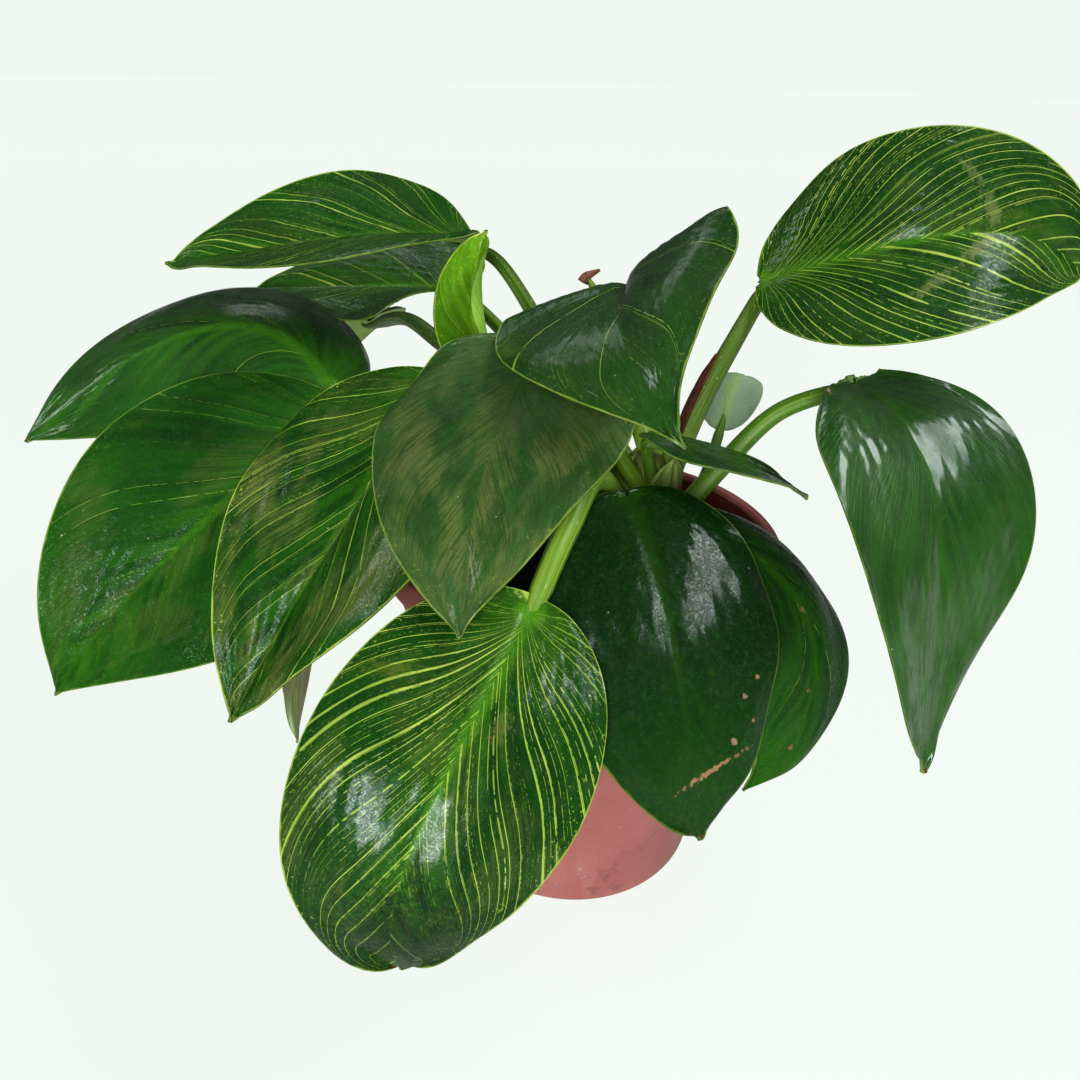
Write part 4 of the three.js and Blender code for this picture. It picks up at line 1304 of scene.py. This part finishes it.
def pot_profile():
    """The pot's section: up the outside, over the rolled rim and down the inside, as (radius, height)."""
    outside = [(BASE_RADIUS - 1.4, 0), (BASE_RADIUS - 0.5, 0.4), (BASE_RADIUS, 1.4), (BASE_RADIUS + 0.3, 2.6)]
    outside += [(wall_radius(z) + bulge, z) for z, bulge in (
        (3.6, -0.1), (20, 0), (45, 0), (70, 0), (88, 0),
        (97, 0), (98, 0.35), (99.2, 0.35), (100, 0), (111.8, 0),
    )]
    rim = [
        (58.4, 112.6), (59.4, 112.4), (60.3, 109.4), (60.6, 109.0), (61.3, 109.0), (61.5, 109.4),
        (60.8, 112.6), (60.0, 114.3), (59.2, 115.0), (58.2, 115.0), (57.3, 114.6),
    ]
    inside = [(wall_radius(z) - WALL, z) for z in (113.4, 109, 96, 70, 40, 12, 5)]
    return outside + rim + inside + [(BASE_RADIUS - WALL - 0.6, 3), (BASE_RADIUS - WALL - 2.4, FLOOR)]


def build_pot(sizes):
    piece = turned("plastic_pot", pot_profile(), sizes.sides)
    for number in range(DRAIN_COUNT):
        angle = 2 * math.pi * (number + 0.5) / DRAIN_COUNT
        clear_selection()
        bpy.ops.mesh.primitive_cylinder_add(
            vertices=40, radius=DRAIN_RADIUS * MM, depth=8 * MM,
            location=(DRAIN_RING * math.cos(angle) * MM, DRAIN_RING * math.sin(angle) * MM, 1 * MM),
        )
        cutter = bpy.context.object
        apply_modifier(piece, "BOOLEAN", operation="DIFFERENCE", object=cutter, solver="EXACT")
        bpy.data.objects.remove(cutter)
    sharp = math.radians(35)
    apply_modifier(piece, "BEVEL", width=0.25 * MM, segments=2, limit_method="ANGLE", angle_limit=sharp)
    outer = plastic_material("pot outside", tuple(sizes.outside), paint(168, 92, 84), 0.5)
    # The inner wall gets its own darker material: partly damp plastic, partly painted shade inside the pot.
    inner = plastic_material("pot inside damp and shaded", tuple(sizes.inside), paint(96, 44, 36), 0.2)
    piece.data.materials.append(outer)
    piece.data.materials.append(inner)
    for face in piece.data.polygons:
        x, y, z = face.center
        inward = face.normal.x * x + face.normal.y * y < 0
        if inward and math.hypot(x, y) < (wall_radius(z / MM) - 0.6) * MM and FLOOR * MM < z < 113 * MM:
            face.material_index = 1
    smooth(piece, 35)
    settle(piece, "pot_plastic", "nursery_pot")


CRUMB_COUNT = 1500
BARK_BIT_COUNT = 70


def soil_surface(x, y):
    """Height of the mix, crumb by crumb, in metres, at rows of x and y in metres."""
    rng = np.random.default_rng(77)
    reach = np.hypot(x, y) / (50 * MM)
    z = np.full(len(x), SOIL_TOP * MM) + 1.6 * MM * np.clip(1 - reach, 0, 1)
    z += 0.7 * MM * waves(70, 6, 22, x * 4, y * 4)
    for _ in range(CRUMB_COUNT):
        far, turn = 56 * MM * math.sqrt(rng.uniform()), rng.uniform(0, 2 * math.pi)
        radius = MM * (0.5 + 1.9 * rng.uniform() ** 3)
        cx, cy = far * math.cos(turn), far * math.sin(turn)
        near = (np.abs(x - cx) < radius) & (np.abs(y - cy) < radius)
        inside = np.clip(1 - ((x[near] - cx) ** 2 + (y[near] - cy) ** 2) / radius**2, 0, 1)
        z[near] += rng.uniform(0.25, 0.6) * radius * np.sqrt(inside)
    return z


def build_soil(sizes):
    cells = 230
    piece, across, along = patch("potting_mix", cells, cells)
    x, y = across, 2 * along - 1
    # The square grid is drawn out into a disc.
    reach = np.maximum(np.abs(x), np.abs(y))
    stretch = reach / np.maximum(np.hypot(x, y), 1e-9)
    inner = (wall_radius(SOIL_TOP) - WALL - 0.4) * MM
    x, y = x * stretch * inner, y * stretch * inner
    z = soil_surface(x, y)
    move_corners(piece, np.stack((x, y, z), axis=1))
    pick_out(piece)
    open_whole()
    bpy.ops.mesh.region_to_loop()
    bottom = FLOOR + 0.3
    narrow = (wall_radius(bottom) - WALL - 0.5) / (wall_radius(SOIL_TOP) - WALL - 0.4)
    bpy.ops.mesh.extrude_edges_move(TRANSFORM_OT_translate={"value": (0, 0, -(SOIL_TOP - bottom) * MM)})
    bpy.ops.transform.resize(value=(narrow, narrow, 0), center_override=(0, 0, bottom * MM))
    bpy.ops.mesh.edge_face_add()
    close_outward()
    smooth(piece, 60)
    piece.data.materials.append(soil_material(sizes))
    settle(piece, "potting_mix", "potting_soil")


def chip(name, centre, size, turn, seed, material):
    """A torn flake of bark: a block, cut finer, rounded and worn uneven."""
    clear_selection()
    bpy.ops.mesh.primitive_cube_add(size=1)
    piece = bpy.context.object
    piece.name = name
    open_whole()
    bpy.ops.mesh.subdivide(number_cuts=5)
    bpy.ops.object.mode_set(mode="OBJECT")
    places = corners(piece)
    round_off = unit(places + 1e-9) * 0.5
    places = places * 0.55 + round_off * 0.45
    wear = 1 + 0.16 * waves(seed, 0.6, 2.0, places[:, 0], places[:, 1], places[:, 2])
    places = places * wear[:, None] * np.array(size) * MM
    c, s = math.cos(math.radians(turn)), math.sin(math.radians(turn))
    x, y, z = places.T
    spun = np.stack((x * c - y * s, x * s + y * c, z), axis=1)
    move_corners(piece, spun + np.array(centre))
    smooth(piece, 40)
    piece.data.materials.append(material)
    return piece


def build_bark(sizes):
    material = bark_material(sizes)
    for number in range(1, 6):
        low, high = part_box(f"bark_chip_{number}")
        span = (high - low) / MM
        size = (span.x * 1.05, span.y * 0.95, span.z)
        piece = chip(f"bark_flake_{number}", (low + high) / 2, size, 10 * number, number, material)
        settle(piece, "bark", f"bark_chip_{number}")
    rng = np.random.default_rng(31)
    made = []
    for number in range(BARK_BIT_COUNT):
        far, turn = 53 * math.sqrt(rng.uniform(0.02, 1)), rng.uniform(0, 360)
        x, y = far * math.cos(math.radians(turn)), far * math.sin(math.radians(turn))
        if math.hypot(x - STEM_PLACE[0], y - STEM_PLACE[1]) < STEM_RADIUS + 4:
            continue
        z = soil_surface(np.array([x * MM]), np.array([y * MM]))[0]
        size = (rng.uniform(1.5, 4.5), rng.uniform(0.8, 2), rng.uniform(0.5, 1.2))
        place = (x * MM, y * MM, z + 0.2 * MM)
        made.append(chip(f"bit_{number}", place, size, rng.uniform(0, 180), 100 + number, material))
    clear_selection()
    for piece in made:
        piece.select_set(True)
    bpy.context.view_layer.objects.active = made[0]
    bpy.ops.object.join()
    made[0].name = "bark_crumbs"
    settle(made[0], "bark")


# ---- operators ------------------------------------------------------------------------------------------


class BIRKIN_OT_stage(bpy.types.Operator):
    """Pale floor, soft studio lights and the camera"""

    bl_idname = "birkin.stage"
    bl_label = "Stage"

    def execute(self, context):
        sizes = context.scene.birkin_stage
        scene = context.scene
        scene.view_settings.view_transform = "Standard"
        scene.view_settings.look = "Medium High Contrast"
        build_camera(sizes)
        build_floor(sizes)
        build_lights(sizes)
        return {"FINISHED"}


class BIRKIN_OT_pot(bpy.types.Operator):
    """The thin plastic nursery pot with its rolled rim and drain holes"""

    bl_idname = "birkin.pot"
    bl_label = "Nursery pot"

    def execute(self, context):
        build_pot(context.scene.birkin_pot)
        return {"FINISHED"}


class BIRKIN_OT_soil(bpy.types.Operator):
    """The potting mix, its bark chips and crumbs"""

    bl_idname = "birkin.soil"
    bl_label = "Potting mix"

    def execute(self, context):
        build_soil(context.scene.birkin_pot)
        build_bark(context.scene.birkin_pot)
        return {"FINISHED"}


class BIRKIN_OT_stalks(bpy.types.Operator):
    """The stem, its sheaths, the leaf stalks, the dried scale and the new leaf's spear"""

    bl_idname = "birkin.stalks"
    bl_label = "Stem and stalks"

    def execute(self, context):
        sizes = context.scene.birkin_stalk
        pattern = stalk_pattern(sizes)
        build_stem(pattern)
        for leaf in LEAVES:
            build_stalk(leaf, sizes, pattern)
        greens = dict(light=paint(168, 178, 96), deep=paint(104, 124, 50))
        materials = {
            "green": stalk_material("green sheath", pattern, 60, 0.8, **greens),
            "dry": dry_material("dry sheath", paint(92, 54, 34), paint(146, 92, 58)),
        }
        for number, sheath in enumerate(SHEATHS, 1):
            build_sheath(number, sheath, materials)
        right_high = next(leaf for leaf in LEAVES if leaf["name"] == "right_high")
        build_dried_scale(right_high, sizes, dry_material("bud scale", paint(84, 40, 26), paint(128, 68, 42)))
        build_spear(pattern, dry_material("spear tip", paint(104, 62, 44), paint(158, 106, 78)))
        return {"FINISHED"}


class BIRKIN_OT_blades(bpy.types.Operator):
    """The blades of all the leaves, veined on top and keeled below"""

    bl_idname = "birkin.blades"
    bl_label = "Leaf blades"

    def execute(self, context):
        sizes = context.scene.birkin_leaf
        pattern = leaf_pattern(sizes)
        edge = edge_material()
        usual = underside_material("blade underside", tuple(sizes.under), paint(108, 144, 78))
        unders = {
            name: underside_material(label, paint(*light), paint(*shade))
            for name, (label, light, shade) in OWN_UNDERSIDES.items()
        }
        for leaf in LEAVES:
            material = leaf_material(leaf, pattern, SPOTS.get(leaf["name"], ()))
            build_blade(leaf, sizes, (material, unders.get(leaf["name"], usual), edge))
        return {"FINISHED"}


# ---- stage -----------------------------------------------------------------------------------------------


def build_camera(sizes):
    pitch, roll = sizes.pitch, sizes.roll
    ahead = Vector((0, math.cos(pitch), -math.sin(pitch)))
    level, upright = Vector((1, 0, 0)), Vector((0, math.sin(pitch), math.cos(pitch)))
    right = level * math.cos(roll) + upright * math.sin(roll)
    up = upright * math.cos(roll) - level * math.sin(roll)
    bpy.ops.object.camera_add(location=sizes.camera)
    camera = bpy.context.object
    turned_to = Matrix((right, up, -ahead)).transposed().to_4x4()
    camera.matrix_world = Matrix.Translation(sizes.camera) @ turned_to
    camera.data.lens = sizes.lens
    camera.data.sensor_width = 36
    camera.data.clip_start = 0.01
    bpy.context.scene.camera = camera


def build_floor(sizes):
    clear_selection()
    bpy.ops.mesh.primitive_circle_add(vertices=128, radius=9, fill_type="NGON")
    floor = bpy.context.object
    floor.name = "floor"
    material, graph, shader = start_material("pale floor")
    faint = graph.noise(graph.object_place(), 3.0, 2.0)
    colour = graph.blend(graph.step(faint, 0.3, 0.7), paint(86, 89, 86), paint(90, 92, 90))
    graph.feed(shader["Base Color"], colour)
    shader["Roughness"].default_value = 0.9
    shader["Specular IOR Level"].default_value = 0.1
    shader["Emission Color"].default_value = (*sizes.floor, 1)
    seen = graph.add("LightPath").outputs["Is Camera Ray"]
    away = graph.vector_math("LENGTH", graph.object_place())
    glow = graph.step(away, 0.2, 2.5, 0.79, 0.84)
    graph.feed(shader["Emission Strength"], graph.step(seen, 0.0, 1.0, 0.4, glow))
    floor.data.materials.append(material)


# Soft boxes: (name, azimuth, elevation, distance, width, height, power, colour); azimuth 0 is the front.
LIGHTS = [
    ("front box", -10, 15, 1.3, 0.34, 0.76, 12.0, (0.90, 0.95, 1.0)),
    ("right box", 84, 52, 1.4, 1.2, 0.46, 12.0, (0.93, 0.97, 1.0)),
    ("left box", -98, 34, 1.4, 0.3, 0.3, 2.0, (0.95, 0.98, 1.0)),
    ("back left box", -158, 42, 1.5, 0.5, 0.4, 0.8, (0.92, 0.96, 1.0)),
]


def build_lights(sizes):
    middle = Vector((-0.01, 0, 0.12))
    for name, azimuth, elevation, distance, width, height, power, colour in LIGHTS:
        toward = Vector(facing(azimuth, elevation))
        bpy.ops.object.light_add(type="AREA", location=middle + toward * distance)
        light = bpy.context.object
        light.name = name
        light.rotation_euler = toward.to_track_quat("Z", "Y").to_euler()
        light.data.shape = "RECTANGLE"
        light.data.size = width
        light.data.size_y = height
        light.data.energy = power
        light.data.color = colour
    world = bpy.data.worlds.new("studio")
    bpy.context.scene.world = world
    world.use_nodes = True
    tree = world.node_tree
    graph = Graph(tree)
    seen = graph.add("LightPath").outputs["Is Camera Ray"]
    dim = tree.nodes["Background"]
    dim.inputs["Color"].default_value = (0.80, 0.86, 0.84, 1)
    dim.inputs["Strength"].default_value = 0.12
    bright = graph.add("Background", Color=tuple(sizes.floor), Strength=0.84)
    mixed = tree.nodes.new("ShaderNodeMixShader")
    tree.links.new(seen, mixed.inputs[0])
    tree.links.new(dim.outputs[0], mixed.inputs[1])
    tree.links.new(bright.outputs[0], mixed.inputs[2])
    tree.links.new(mixed.outputs[0], tree.nodes["World Output"].inputs["Surface"])


# ---- sidebar and running --------------------------------------------------------------------------------


class BIRKIN_PT_panel(bpy.types.Panel):
    """Lists the pieces and their sizes"""

    bl_idname = "BIRKIN_PT_panel"
    bl_label = "Philodendron birkin"
    bl_space_type = "VIEW_3D"
    bl_region_type = "UI"
    bl_category = "Birkin"

    def draw(self, context):
        layout = self.layout
        for operator in OPERATORS:
            layout.operator(operator.bl_idname)
        for name in SETTINGS:
            box = layout.box()
            box.label(text=name.replace("_", " ").capitalize())
            settings = getattr(context.scene, name)
            for key in settings.__annotations__:
                box.prop(settings, key)


OPERATORS = (BIRKIN_OT_stage, BIRKIN_OT_pot, BIRKIN_OT_soil, BIRKIN_OT_stalks, BIRKIN_OT_blades)


def register():
    for kind in (*SETTINGS.values(), *OPERATORS, BIRKIN_PT_panel):
        bpy.utils.register_class(kind)
    for name, kind in SETTINGS.items():
        setattr(bpy.types.Scene, name, PointerProperty(type=kind))


def unregister():
    for name in SETTINGS:
        delattr(bpy.types.Scene, name)
    for kind in reversed((*SETTINGS.values(), *OPERATORS, BIRKIN_PT_panel)):
        bpy.utils.unregister_class(kind)


def main():
    register()
    bpy.ops.birkin.stage()
    bpy.ops.birkin.pot()
    bpy.ops.birkin.soil()
    bpy.ops.birkin.stalks()
    bpy.ops.birkin.blades()


if __name__ == "__main__":
    main()
